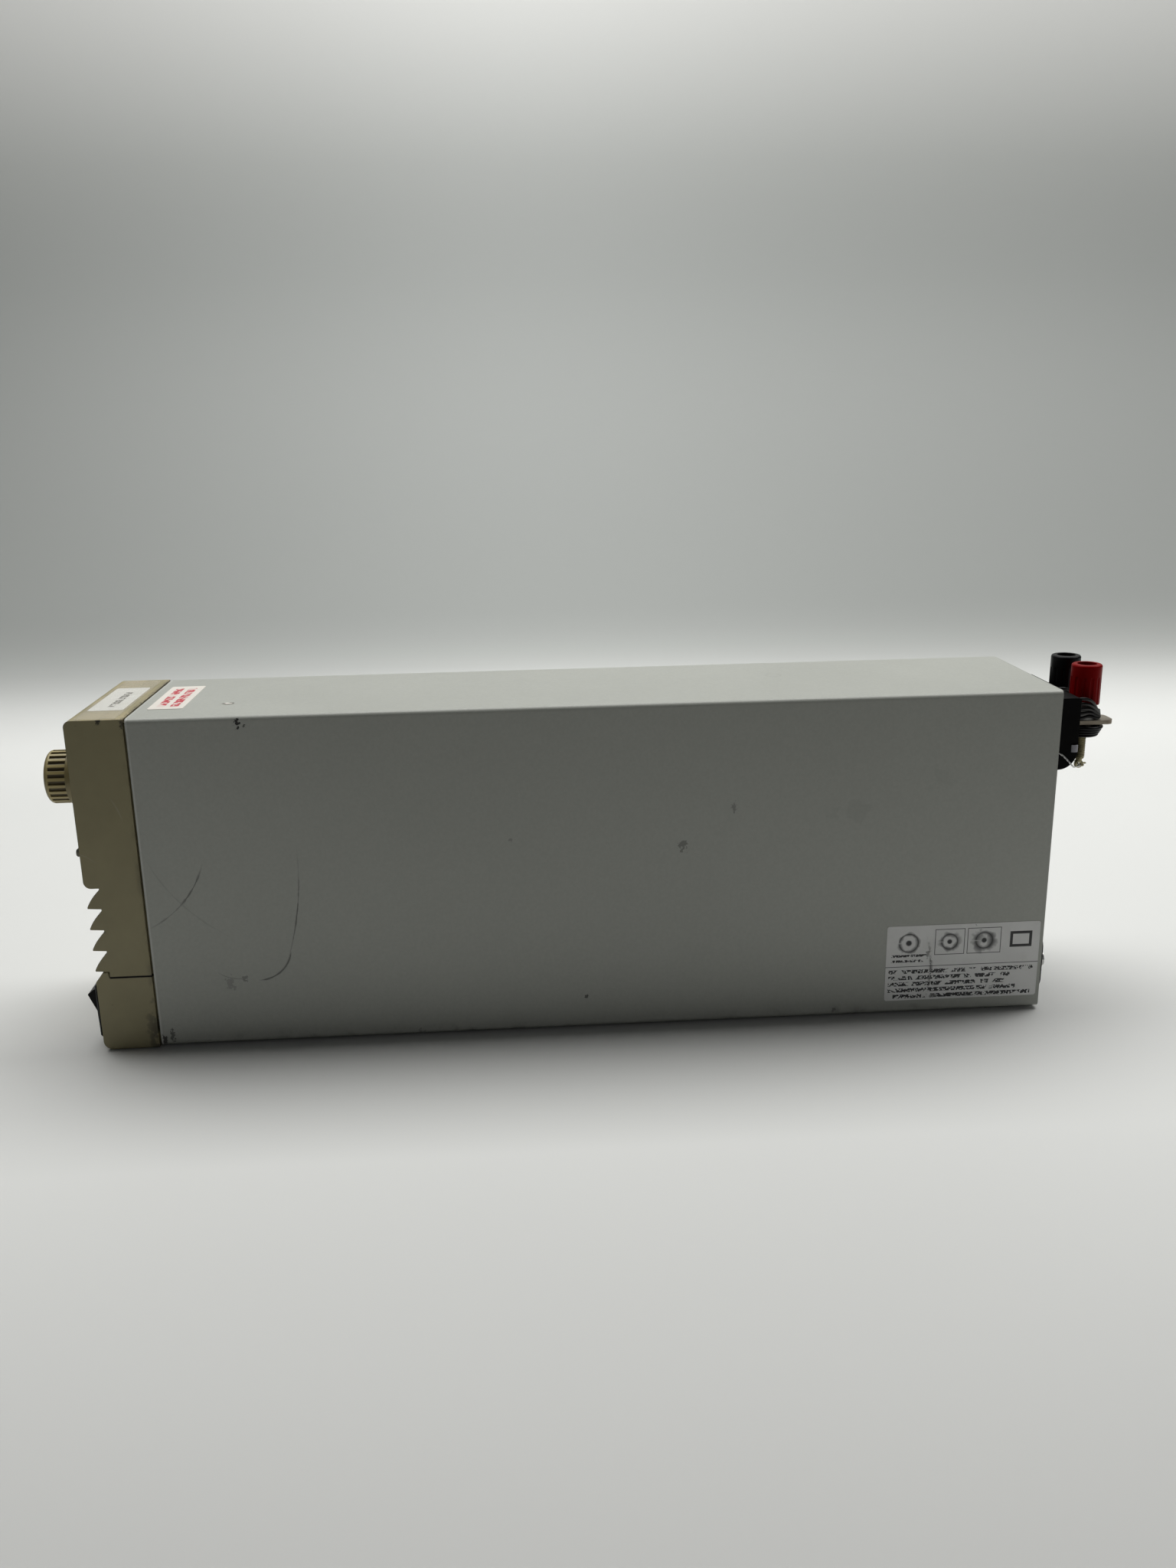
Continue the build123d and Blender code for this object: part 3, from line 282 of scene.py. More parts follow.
# ---------------------------------------------------------------- materials of the case
def case_paint():
    """Light grey powder coat with a fine grain, arc scratches, chips and grubby corners."""
    s = Surface("case_paint", (0.385, 0.395, 0.36), 0.42)
    s.vary(9.0, 0.025)
    s.vary(900.0, 0.035, 2.0)
    x, y, z = s.axes()
    s.round_edges(0.0007)
    near = s.ramp(x, SIDE - 0.0007, SIDE - 0.0003)
    top = s.ramp(z, TOP - 0.0008, TOP - 0.0003)
    behind = s.math("SUBTRACT", y, SEAM)
    up = s.math("SUBTRACT", z, BASE)
    arcs = [  # centre behind the seam and up from the underside, radius, first and last angle, width, depth
        (mm(-16.2, 82.2), 0.0394, -44, -22, 0.00055, 0.8),
        (mm(-16.2, 82.2), 0.0394, -62, -40, 0.0005, 0.45),
        (mm(-64.1, 70.5), 0.1192, -16, -3, 0.00042, 0.85),
        (mm(37.6, 37.1), 0.0125, -86, -10, 0.0005, 0.85),
        (mm(60.0, 97.0), 0.0630, -156, -124, 0.00050, 0.18),
        (mm(31.0, 38.0), 0.0125, -125, -80, 0.0004, 0.35),
    ]
    spots = [  # centre behind the seam and up from the underside, radius, height to width, depth of colour
        (mm(32.5, 25.6), 0.0012, 0.8, 0.45),
        (mm(27.3, 24.2), 0.0016, 1.4, 0.30),
        (mm(194.3, 70.9), 0.0017, 1.2, 0.5),
        (mm(212.7, 84.8), 0.0008, 2.2, 0.4),
        (mm(131.5, 75.0), 0.0006, 1.0, 0.3),
        (mm(157.9, 12.5), 0.0007, 1.0, 0.8),
        (mm(257.4, 81.0), 0.0070, 0.8, 0.07),
        (mm(287.0, 94.0), 0.0050, 0.7, 0.05),
        (mm(1.2, 2.4), 0.0010, 1.4, 0.9),
        (mm(4.4, 4.1), 0.0008, 2.6, 0.7),
        (mm(38.1, 121.7), 0.0009, 2.0, 1.0),
        (mm(40.5, 120.4), 0.0006, 1.0, 0.9),
        (mm(252.0, 2.0), 0.0008, 1.0, 0.5),
        (mm(96.0, 1.6), 0.0012, 0.6, 0.4),
        (mm(299.0, 28.0), 0.0006, 1.5, 0.4),
    ]
    total = None
    masks = [(s.arc(behind, up, *shape), strength) for *shape, strength in arcs]
    masks += [(s.spot(behind, up, *shape, 0.9), strength) for *shape, strength in spots]
    for mask, strength in masks:
        mask = s.math("MULTIPLY", mask, strength)
        total = mask if total is None else s.math("MAXIMUM", total, mask)
    s.blend(s.math("MULTIPLY", total, near), (0.022, 0.022, 0.02))
    # Paint lifted off the top in one small flake, and a faint round dimple drawn only as a ring of painted
    # shade
    flake = s.spot(x, behind, mm(13.6, 31.0), 0.0021, 1.3, 0.25)
    heart = s.spot(x, behind, mm(13.3, 31.2), 0.0014, 1.2, 0.25)
    rim = s.math("MULTIPLY", s.math("SUBTRACT", flake, heart, clamp=True), top)
    s.blend(rim, (0.05, 0.035, 0.02))
    s.blend(s.math("MULTIPLY", heart, top), (0.75, 0.72, 0.66))
    # Painted shade: a faint dark ring where the dimple's rim would be shaded
    ring = s.arc(x, behind, mm(-8.4, 235.1), 0.0028, -176, 176, 0.0008)
    s.blend(s.math("MULTIPLY", s.math("MULTIPLY", ring, top), 0.25), (0.15, 0.15, 0.14))
    # Grubby lower edge and dark dirt in the corners
    low = s.math("MULTIPLY", s.ramp(up, 0.006, 0.0), s.ramp(s.noise(110.0, 5.0), 0.52, 0.72))
    s.blend(s.math("MULTIPLY", low, 0.45), (0.06, 0.055, 0.045))
    # Painted highlight: a pale line along the front edge beside the bezel, where the edge catches the light
    s.blend(s.math("MULTIPLY", s.ramp(behind, 0.0009, 0.0004), 0.55), (0.62, 0.63, 0.60))
    worn = s.math("MULTIPLY", s.edge_mask(0.0009), s.ramp(s.noise(70.0, 5.0), 0.55, 0.70))
    s.blend(s.math("MULTIPLY", worn, 0.6), (0.10, 0.095, 0.085))
    s.bump(s.noise(1500.0, 2.0), 0.00006, 0.55)
    s.bump(s.math("MULTIPLY", s.math("MULTIPLY", total, near), -1.0), 0.0001, 0.6)
    s.gloss(s.noise(35.0, 4.0), 0.36, 0.50)
    return s.material


def moulded(name, colour, roughness, grain=1100.0, depth=0.00004, dirt=0.35,
            dirt_colour=(0.05, 0.045, 0.03), vary=0.06, edge=0.0004, specular=0.5):
    """Moulded plastic with a spark-eroded grain, uneven colour and grime along its edges."""
    s = Surface(name, colour, roughness, Specular_IOR_Level=specular)
    s.vary(22.0, vary)
    s.vary(160.0, vary * 0.5)
    s.round_edges(edge)
    grime = s.math("MULTIPLY", s.edge_mask(edge * 2.2), s.ramp(s.noise(95.0, 6.0), 0.46, 0.68))
    s.blend(s.math("MULTIPLY", grime, dirt), dirt_colour)
    specks = s.math("MULTIPLY", s.ramp(s.cells(210.0), 0.13, 0.06), s.ramp(s.noise(30.0, 4.0), 0.55, 0.62))
    s.blend(s.math("MULTIPLY", specks, dirt), dirt_colour)
    s.bump(s.noise(grain, 2.0), depth, 0.6)
    s.gloss(s.noise(60.0, 4.0), roughness - 0.07, roughness + 0.08)
    return s


def bezel_plastic():
    """Aged cream bezel: greyed by handling, grimy at its seam and foot, nicked along its top edge."""
    nick_spots = [  # centre ahead of the seam and up from the cover's underside, radius, height to width
        (mm(0.9, 122.6), 0.0009, 1.6), (mm(1.6, 121.4), 0.0006, 1.0), (mm(9.0, 123.2), 0.0005, 1.4),
    ]
    scuffs = [  # centre ahead of the seam and up from the table, radius, first and last angle
        (mm(38.5, 114.0), 0.0350, 132, 146), (mm(28.0, 59.0), 0.0190, 95, 128),
        (mm(30.0, 83.0), 0.0260, 150, 166),
    ]
    s = moulded("bezel_plastic", (0.280, 0.247, 0.135), 0.45, dirt=0.6)
    x, y, z = s.axes()
    ahead = s.math("SUBTRACT", SEAM, y)
    rub = s.ramp(s.noise(26.0, 5.0, 0.65, (1.0, 1.0, 0.25)), 0.50, 0.75)
    s.blend(s.math("MULTIPLY", rub, 0.22), (0.17, 0.155, 0.10))
    yellow = s.math("MULTIPLY", s.ramp(z, TOP - 0.0004, TOP - 0.0001), s.ramp(s.noise(60.0, 4.0), 0.35, 0.65))
    s.blend(s.math("MULTIPLY", yellow, 0.5), (0.42, 0.35, 0.20))
    seam = s.math("MULTIPLY", s.ramp(ahead, 0.0030, 0.0008), s.ramp(s.noise(85.0, 5.0), 0.44, 0.62))
    s.blend(s.math("MULTIPLY", seam, 0.35), (0.04, 0.032, 0.018))
    foot = s.math("MULTIPLY", s.ramp(z, 0.030, 0.004), s.ramp(s.noise(170.0, 6.0), 0.50, 0.62))
    low_rear = s.math("MULTIPLY", foot, s.ramp(ahead, 0.0075, 0.0015))
    s.blend(s.math("MULTIPLY", low_rear, 0.8), (0.05, 0.042, 0.024))
    # Dark seam between the upper and the lower bezel
    split = band(s, z, BASE + 0.0276, BASE + 0.0284, 0.0001)
    s.blend(s.math("MULTIPLY", split, s.ramp(ahead, 0.0158, 0.0156)), (0.02, 0.016, 0.01))
    corner = band(s, z, TOP - 0.0016, TOP + 0.001, 0.0005)
    nicks = s.math("MULTIPLY", corner, s.ramp(s.noise(210.0, 4.0), 0.60, 0.66))
    s.blend(s.math("MULTIPLY", nicks, s.ramp(x, SIDE - 0.002, SIDE - 0.001)), (0.025, 0.02, 0.012))
    for nick in nick_spots:
        mark = s.spot(ahead, s.math("SUBTRACT", z, BASE), *nick, 0.8)
        s.blend(s.math("MULTIPLY", mark, 0.8), (0.025, 0.02, 0.012))
    for scuff in scuffs:
        mark = s.arc(ahead, z, *scuff, 0.00035)
        s.blend(s.math("MULTIPLY", mark, 0.35), (0.42, 0.39, 0.30))
    return s.material


def knob_plastic():
    """Yellowed cream knob: pale ribs, painted shade in the grooves between them, and darker round the skirt
    and the nose.
    """
    s = moulded("knob_plastic", (0.48, 0.395, 0.175), 0.42, dirt=0.5, edge=0.00025)
    low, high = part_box("knob")
    x, y, z = s.axes()
    u = s.math("SUBTRACT", x, (low[0] + high[0]) / 2)
    v = s.math("SUBTRACT", z, (low[2] + high[2]) / 2)
    away = s.length(u, v)
    # Painted shade: the grooves between the ribs are darkened, behind the nose
    groove = s.math("MULTIPLY", s.ramp(away, 0.00950, 0.00925), s.ramp(away, 0.0086, 0.0088))
    behind_nose = s.ramp(y, low[1] + 0.0014, low[1] + 0.0020)
    s.blend(s.math("MULTIPLY", groove, behind_nose), (0.105, 0.085, 0.04))
    # Darker towards the skirt and towards the nose
    end_tone = (0.17, 0.145, 0.075)
    s.blend(s.math("MULTIPLY", s.ramp(y, high[1] - 0.0030, high[1] - 0.0026), 0.6), end_tone)
    s.blend(s.math("MULTIPLY", s.ramp(y, low[1] + 0.0018, low[1] + 0.0008), 0.6), end_tone)
    return s.material


def metal(name, colour, roughness, scratch=240.0, stretch=(1.0, 1.0, 12.0), tarnish=0.3,
          tarnish_colour=(0.10, 0.08, 0.06)):
    """Plated or drawn metal with fine lines and patchy tarnish."""
    s = Surface(name, colour, roughness, 1.0)
    s.vary(45.0, 0.10)
    stain = s.ramp(s.noise(130.0, 6.0), 0.45, 0.75)
    s.blend(s.math("MULTIPLY", stain, tarnish), tarnish_colour)
    s.round_edges(0.00015)
    s.bump(s.noise(scratch, 3.0, 0.6, stretch), 0.00003, 0.5)
    s.gloss(s.noise(90.0, 4.0), roughness - 0.08, roughness + 0.14)
    return s.material


def board_green():
    """Circuit board: green mask over copper tracks, with tinned pads."""
    s = Surface("board_green", (0.02, 0.16, 0.06), 0.32)
    tracks = s.ramp(s.cells(190.0, "DISTANCE_TO_EDGE"), 0.06, 0.03)
    s.blend(tracks, (0.04, 0.24, 0.09))
    pads = s.ramp(s.cells(260.0), 0.16, 0.12)
    s.blend(pads, (0.55, 0.56, 0.55))
    s.bump(tracks, 0.00004)
    s.vary(30.0, 0.08)
    return s.material


def window_acrylic():
    """Smoked red lens, lightly scratched."""
    s = Surface("window_acrylic", (0.16, 0.012, 0.014), 0.08, 0.0, Transmission_Weight=0.55, IOR=1.49)
    hair = s.ramp(s.noise(420.0, 2.0, 0.5, (1.0, 1.0, 0.12)), 0.68, 0.76)
    s.gloss(hair, 0.07, 0.14)
    s.round_edges(0.0003)
    s.bump(hair, 0.000002, 0.1)
    return s.material


def paper(name, colour, roughness):
    """Printed label stock with a faint weave and soiled patches."""
    s = Surface(name, colour, roughness)
    s.vary(120.0, 0.03)
    s.bump(s.noise(700.0, 3.0), 0.00003, 0.5)
    soil = s.ramp(s.noise(90.0, 5.0), 0.52, 0.75)
    s.blend(s.math("MULTIPLY", soil, 0.1225), (0.30, 0.28, 0.22))
    return s


def print_rows(s, across, along, rows, ink, stroke=1500.0, word=330.0):
    """Rows of illegible strokes: each row is (middle, half height, start, end) along two coordinates."""
    for middle, half, start, end in rows:
        line = band(s, across, middle - half, middle + half, 0.00006)
        span = band(s, along, start, end, 0.0001)
        strokes = s.ramp(s.noise(stroke, 1.0, 0.4), 0.42, 0.47)
        words = s.ramp(s.noise(word, 0.0), 0.34, 0.37)
        s.blend(s.math("MULTIPLY", s.math("MULTIPLY", line, span), s.math("MULTIPLY", strokes, words)), ink)


def rating_label():
    """Silver-white label: plain badges above, five rows of illegible print below, a crease with painted shade
    along it, and torn spots.
    """
    s = paper("rating_label", (0.73, 0.73, 0.72), 0.38)
    low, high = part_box("rating_label")
    y, z = s.axes()[1:]
    left, right = low[1], high[1]
    base, height = low[2], high[2] - low[2]
    ink = (0.012, 0.012, 0.014)
    divider = base + 0.455 * height
    s.blend(band(s, z, divider - 0.00012, divider + 0.00012, 0.00005), ink)
    spans = ((0.02, 0.97), (0.02, 0.82), (0.02, 0.81), (0.02, 0.86), (0.055, 0.96))
    rows = [(base + (0.385 - 0.083 * k) * height, 0.0008, left + start * (right - left),
             left + end * (right - left)) for k, (start, end) in enumerate(spans)]
    rows += [(base + (0.60 - 0.07 * k) * height, 0.0005, left + 0.002, left + 0.0155) for k in range(2)]
    print_rows(s, z, y, rows, ink)
    badge_z = base + 0.77 * height
    frames = [  # start and end from the label's left, half height, line
        (0.0185, 0.0300, 0.0052, 0.00025), (0.0310, 0.0440, 0.0052, 0.00025),
        (0.0475, 0.0560, 0.0032, 0.0011),
    ]
    rings = [  # centre from the label's left, radius, line
        (0.0085, 0.0036, 0.0011), (0.0242, 0.0030, 0.0016), (0.0375, 0.0032, 0.0026),
    ]
    tears = [  # centre from the label's left and foot, radius, height to width
        (0.0161, 0.0187, 0.0009, 1.9), (0.0190, 0.0012, 0.0012, 0.7), (0.0340, 0.0297, 0.0003, 1.0),
    ]
    for start, end, half, line in frames:
        box = s.math("MULTIPLY", band(s, y, left + start, left + end, 0.00008),
                     band(s, z, badge_z - half, badge_z + half, 0.00008))
        heart = s.math("MULTIPLY", band(s, y, left + start + line, left + end - line, 0.00008),
                       band(s, z, badge_z - half + line, badge_z + half - line, 0.00008))
        s.blend(s.math("SUBTRACT", box, heart, clamp=True), ink)
    for offset, radius, width in rings:
        s.blend(s.arc(y, z, (left + offset, badge_z), radius, -179, 179, width), ink)
        s.blend(s.spot(y, z, (left + offset, badge_z), radius * 0.4, 1.0, 0.0), ink)
    # Painted shade: a broken dark line along the crease
    crease = s.arc(y, z, (left - 0.030, base + 0.012), 0.0475, -10, 12, 0.0009)
    s.blend(s.math("MULTIPLY", crease, s.ramp(s.noise(700.0), 0.40, 0.55)), (0.10, 0.10, 0.095))
    for offset, rise, radius, stretch in tears:
        torn = s.spot(y, z, (left + offset, base + rise), radius, stretch, 0.6)
        s.blend(s.math("MULTIPLY", torn, 0.8), (0.17, 0.17, 0.16))
    s.bump(crease, 0.0003)
    return s.material


def service_label():
    """Cream label with two rows of red block print."""
    s = paper("service_label", (0.74, 0.70, 0.64), 0.5)
    low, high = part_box("service_label")
    x, y = s.axes()[:2]
    middle = (low[1] + high[1]) / 2
    red = (0.50, 0.04, 0.06)
    rows = [(middle + k * 0.0024, 0.0015, low[0] + 0.004, high[0] - 0.004) for k in (-1, 1)]
    print_rows(s, y, x, rows, red, 620.0, 160.0)
    for row in rows:
        wash = s.math("MULTIPLY", band(s, y, row[0] - row[1], row[0] + row[1], 0.0003),
                      band(s, x, row[2], row[3], 0.0003))
        s.blend(s.math("MULTIPLY", wash, 0.18), red)
    return s.material


def asset_label():
    """White label under clear tape, with one short broken row of black print."""
    s = paper("asset_label", (0.74, 0.75, 0.74), 0.30)
    low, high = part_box("asset_label")
    x, y = s.axes()[:2]
    row = ((low[1] + high[1]) / 2 + 0.0006, 0.0013, low[0] + 0.008, high[0] - 0.006)
    print_rows(s, y, x, [row], (0.05, 0.05, 0.05), 900.0, 240.0)
    return s.material


def tape():
    """Clear adhesive tape, creased and a little yellow."""
    s = Surface("clear_tape", (0.80, 0.76, 0.66), 0.30, 0.0, Alpha=0.14)
    s.bump(s.noise(160.0, 3.0, 0.5, (1.0, 4.0, 1.0)), 0.00004, 0.4)
    s.gloss(s.noise(90.0), 0.22, 0.42)
    return s.material


def floor_white():
    """Plain pale table and backdrop in one material, with painted shade greyer towards the viewer and over
    the backdrop, and a painted highlight palest at the backdrop's top.
    """
    s = Surface("floor_white", (0.74, 0.745, 0.73), 0.55)
    s.vary(1.5, 0.015)
    axes = s.axes()
    x, z = axes[0], axes[2]
    # Painted shade: greyer towards the viewer, where the light falls off
    s.blend(s.ramp(x, 0.05, 0.50), (0.36, 0.36, 0.35))
    # Painted shade: the backdrop greyer than the table
    s.blend(s.ramp(x, -0.38, -0.85), (0.26, 0.27, 0.26))
    # Painted highlight: the backdrop palest at its top, nearest the lights
    s.blend(s.ramp(z, 0.36, 0.85), (0.60, 0.60, 0.585))
    s.bump(s.noise(300.0, 3.0), 0.0001, 0.2)
    return s.material


# ---------------------------------------------------------------- which node wears what
def dress_frame():
    """Give every CAD node its material."""
    paint = case_paint()
    bezel = bezel_plastic()
    black = moulded("black_plastic", (0.003, 0.003, 0.0035), 0.38, vary=0.15, dirt=0.10,
                    dirt_colour=(0.08, 0.075, 0.065), specular=0.14).material
    nickel = metal("nickel", (0.50, 0.46, 0.40), 0.28)
    steel = metal("steel_screw", (0.58, 0.58, 0.57), 0.30)
    zinc = metal("zinc_sheet", (0.55, 0.56, 0.57), 0.34, 180.0, (1.0, 8.0, 1.0), 0.15)
    bar = metal("bar_plate", (0.36, 0.315, 0.25), 0.34, 260.0, (8.0, 1.0, 1.0), 0.5, (0.09, 0.06, 0.045))
    brass = metal("brass", (0.62, 0.45, 0.20), 0.30)
    epoxy = moulded("epoxy_black", (0.018, 0.018, 0.018), 0.5, vary=0.12, dirt=0.2).material
    green = board_green()
    housing = moulded("housing_black", (0.002, 0.002, 0.002), 0.55, vary=0.15, dirt=0.04,
                      specular=0.08).material
    red = moulded("red_plastic", (0.200, 0.0003, 0.0008), 0.36, dirt=0.08, edge=0.0003,
                  specular=0.06).material
    wire = moulded("wire_black", (0.003, 0.003, 0.003), 0.34, edge=0.0001, specular=0.16).material
    post = metal("post_brass", (0.36, 0.325, 0.20), 0.34, tarnish=0.6, tarnish_colour=(0.07, 0.055, 0.03))
    wears = {
        paint: ["cover", "rear_panel"],
        bezel: ["upper_bezel", "lower_bezel"],
        black: ["switch_body", "switch_rocker", "fan_frame", "fan_rotor", "mains_inlet",
                "cap_negative"],
        housing: ["terminal_housing"],
        knob_plastic(): ["knob"],
        moulded("button_plastic", (0.20, 0.19, 0.15), 0.5).material: [
            "output_button", "preset_button", "limit_button", "memory_button", "local_button"],
        red: ["cap_positive"],
        moulded("neck_plastic", (0.42, 0.42, 0.40), 0.45).material: ["post_necks"],
        window_acrylic(): ["display_window"],
        moulded("digit_plastic", (0.05, 0.012, 0.012), 0.4).material: ["digit_modules"],
        nickel: ["encoder_shaft", "fan_guard", "inlet_pins", "earth_stud", "post_nuts"],
        post: ["binding_posts"],
        bar: ["busbar_positive", "busbar_negative"],
        brass: ["board_standoffs", "cap_insert_positive", "cap_insert_negative"],
        steel: ["m3_screws", "fan_screws"],
        zinc: ["chassis_tray", "encoder_body"],
        moulded("rubber", (0.018, 0.018, 0.019), 0.75, grain=700.0, depth=0.00008).material: ["feet"],
        green: ["display_board", "main_board", "control_board"],
        epoxy: ["tact_switches", "power_transistors", "bridge_rectifier", "comm_jacks"],
        moulded("ferrite", (0.05, 0.05, 0.055), 0.6).material: ["transformer_core"],
        moulded("winding_tape", (0.60, 0.42, 0.06), 0.35).material: ["transformer_winding"],
        metal("copper_wire", (0.60, 0.24, 0.09), 0.30, 700.0, (1.0, 1.0, 1.0)): ["ring_chokes"],
        moulded("cap_sleeve", (0.015, 0.03, 0.09), 0.25).material: ["bulk_capacitors", "output_capacitors"],
        moulded("film_cap", (0.55, 0.36, 0.04), 0.35).material: ["filter_capacitors"],
        metal("heatsink_al", (0.60, 0.61, 0.62), 0.32, 300.0, (1.0, 0.1, 6.0), 0.1): ["heatsinks"],
        moulded("lamp_resin", (0.08, 0.30, 0.08), 0.25).material: ["indicator_lamps"],
        moulded("terminal_green", (0.03, 0.22, 0.08), 0.4).material: ["sense_block"],
        wire: ["sense_leads"],
        metal("tinned_wire", (0.50, 0.50, 0.49), 0.30): ["eye_wire"],
        moulded("ribbon", (0.40, 0.41, 0.43), 0.5).material: ["ribbon_cable"],
        metal("tag_foil", (0.30, 0.30, 0.33), 0.35): ["wire_tag"],
        rating_label(): ["rating_label"],
        service_label(): ["service_label"],
        asset_label(): ["asset_label"],
    }
    for material, names in wears.items():
        for name in names:
            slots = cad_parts[name].material_slots
            if not slots:
                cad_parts[name].data.materials.append(material)
            for slot in slots:
                slot.material = material
    return {material.name.removesuffix("_look"): material for material in wears}


# ---------------------------------------------------------------- pieces that stand for CAD nodes
def place_piece(piece, material, slot, body="root", *nodes):
    """Give a piece its material and the body that carries it, and hide the nodes it stands for; slot is not
    used.
    """
    piece.data.materials.append(material)
    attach(piece, body)
    if nodes:
        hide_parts(*nodes)


def join_shapes(shapes):
    """Vertices and faces of several shapes as one."""
    verts, faces = [], []
    for shape_verts, shape_faces in shapes:
        start = len(verts)
        verts += shape_verts
        faces += [tuple(start + index for index in face) for face in shape_faces]
    return verts, faces


def loft(rings, closed=False):
    """Skin over rings of points; closed joins the last ring to the first, otherwise both ends are capped."""
    count = len(rings[0])
    verts = [point for ring in rings for point in ring]
    faces = []
    for k in range(len(rings) if closed else len(rings) - 1):
        this, after = k * count, (k + 1) % len(rings) * count
        for j in range(count):
            after_j = (j + 1) % count
            faces.append((this + j, this + after_j, after + after_j, after + j))
    if not closed:
        faces.append(tuple(range(count)))
        faces.append(tuple(len(verts) - count + j for j in reversed(range(count))))
    return verts, faces


def turned(centre, profile, segments=32):
    """A piece turned about a vertical axis: the profile is a closed run of (radius, height)."""
    cx, cy = centre
    angles = [2 * pi * k / segments for k in range(segments)]
    rings = [[(cx + r * cos(a), cy + r * sin(a), z) for r, z in profile] for a in angles]
    return loft(rings, closed=True)


def thread(centre, radius, depth, pitch, low, high, segments=28, steps=8):
    """A threaded rod about a vertical axis, with a plain core at both ends."""
    cx, cy = centre
    rows = int((high - low) / pitch * steps)
    rings = []
    for row in range(rows + 1):
        z = low + (high - low) * row / rows
        fade = min(1.0, row / steps, (rows - row) / steps)
        ring = []
        for k in range(segments):
            phase = (z / pitch - k / segments) % 1.0
            cut = depth * (0.5 + 0.5 * cos(2 * pi * phase))
            r = radius - depth + (depth - cut) * fade
            ring.append((cx + r * cos(2 * pi * k / segments), cy + r * sin(2 * pi * k / segments), z))
        rings.append(ring)
    return loft(rings)


def solder_eye(centre, height, outer, inner, thick):
    """A flattened eye with its hole along X."""
    cx, cy = centre
    shoulder = outer * 0.8
    section = [(inner, -0.5), (inner, 0.5), (shoulder, 0.5), (outer, 0.25), (outer, -0.25), (shoulder, -0.5)]
    rings = []
    for k in range(24):
        a = 2 * pi * k / 24
        rings.append([(cx + w * thick, cy + r * cos(a), height + r * sin(a)) for r, w in section])
    return loft(rings, closed=True)


def solder_blob(centre, size, seed):
    """A lump of solder: a lumpy ball."""
    rings = []
    for row in range(9):
        tilt = pi * (row + 0.5) / 9
        ring = []
        for k in range(14):
            a = 2 * pi * k / 14
            bulge = 1 + 0.22 * sin(3 * a + seed) * sin(tilt) + 0.15 * cos(2 * tilt + 2 * a + seed)
            ring.append((centre[0] + size[0] * bulge * sin(tilt) * cos(a),
                         centre[1] + size[1] * bulge * sin(tilt) * sin(a),
                         centre[2] + size[2] * bulge * cos(tilt)))
        rings.append(ring)
    return loft(rings)


def post_places():
    """Middle of the near (positive) and of the far (negative) binding post, seen from above."""
    low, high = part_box("binding_posts")
    y = (low[1] + high[1]) / 2
    return (high[0] - POST_R, y), (low[0] + POST_R, y)


def add_posts(material):
    """Binding posts: plug socket, threaded stud through the bus bar, and solder eye."""
    low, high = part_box("binding_posts")
    top, bore_floor = high[2], high[2] - POST_BORE_DEPTH
    bar_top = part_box("busbar_positive")[1][2]
    eye_z = low[2] + EYE_R
    core_r = 0.0001                     # the turned profile stops just short of its axis
    stem_r = 0.0012                     # plain stem between the thread and the eye
    shapes = []
    for seed, (x, y) in enumerate(post_places()):
        bore = [(core_r, bore_floor), (POST_BORE_R, bore_floor), (POST_BORE_R, top - 0.0004), (0.0023, top)]
        outside = [(0.0028, top), (POST_R, top - 0.0003), (POST_R, bar_top), (core_r, bar_top)]
        shapes.append(turned((x, y), bore + outside))
        shapes.append(thread((x, y), STUD_R, THREAD_DEPTH, THREAD_PITCH, eye_z + 0.0022, bar_top - 0.0002))
        shapes.append(thread((x, y), stem_r, 0.0, 0.001, eye_z + 0.0011, eye_z + 0.0024))
        shapes.append(solder_eye((x, y), eye_z, EYE_R, EYE_HOLE_R, EYE_THICK))
        shapes.append(solder_blob((x, y + 0.0020, eye_z + 0.0002), mm(0.35, 1.0, 0.35), seed + 4))
        shapes.append(solder_blob((x, y + 0.0013, eye_z - 0.0004), mm(0.9, 0.8, 0.6), seed))
        shapes.append(solder_blob((x + 0.0004, y - 0.0010, eye_z + 0.0011), mm(0.7, 0.6, 0.5), seed + 2))
    piece = mesh_object("threaded_posts", *join_shapes(shapes), smooth=False)
    for polygon in piece.data.polygons:
        polygon.use_smooth = len(polygon.vertices) == 4 and polygon.normal.z < 0.95
    place_piece(piece, material, "nickel", "root", "binding_posts")


def add_wire(name, routes, radius, material, slot, *nodes):
    """Round wires as one curve object, each along a smooth line through the pull of its points."""
    data = bpy.data.curves.new(name, "CURVE")
    data.dimensions = "3D"
    data.bevel_depth = radius
    data.bevel_resolution = 4
    data.use_fill_caps = True
    for points in routes:
        spline = data.splines.new("NURBS")
        spline.points.add(len(points) - 1)
        for slot_point, point in zip(spline.points, points):
            slot_point.co = (*point, 1.0)
        spline.order_u = 3
        spline.use_endpoint_u = True
        spline.resolution_u = 8
    piece = bpy.data.objects.new(name, data)
    bpy.context.scene.collection.objects.link(piece)
    place_piece(piece, material, slot, "root", *nodes)


def around(x, y, radius, first, last, low, high, steps):
    """Points round a post from one bearing to another, climbing from low to high."""
    points = []
    for k in range(steps + 1):
        a = radians(first + (last - first) * k / steps)
        points.append((x + radius * cos(a), y + radius * sin(a), low + (high - low) * k / steps))
    return points


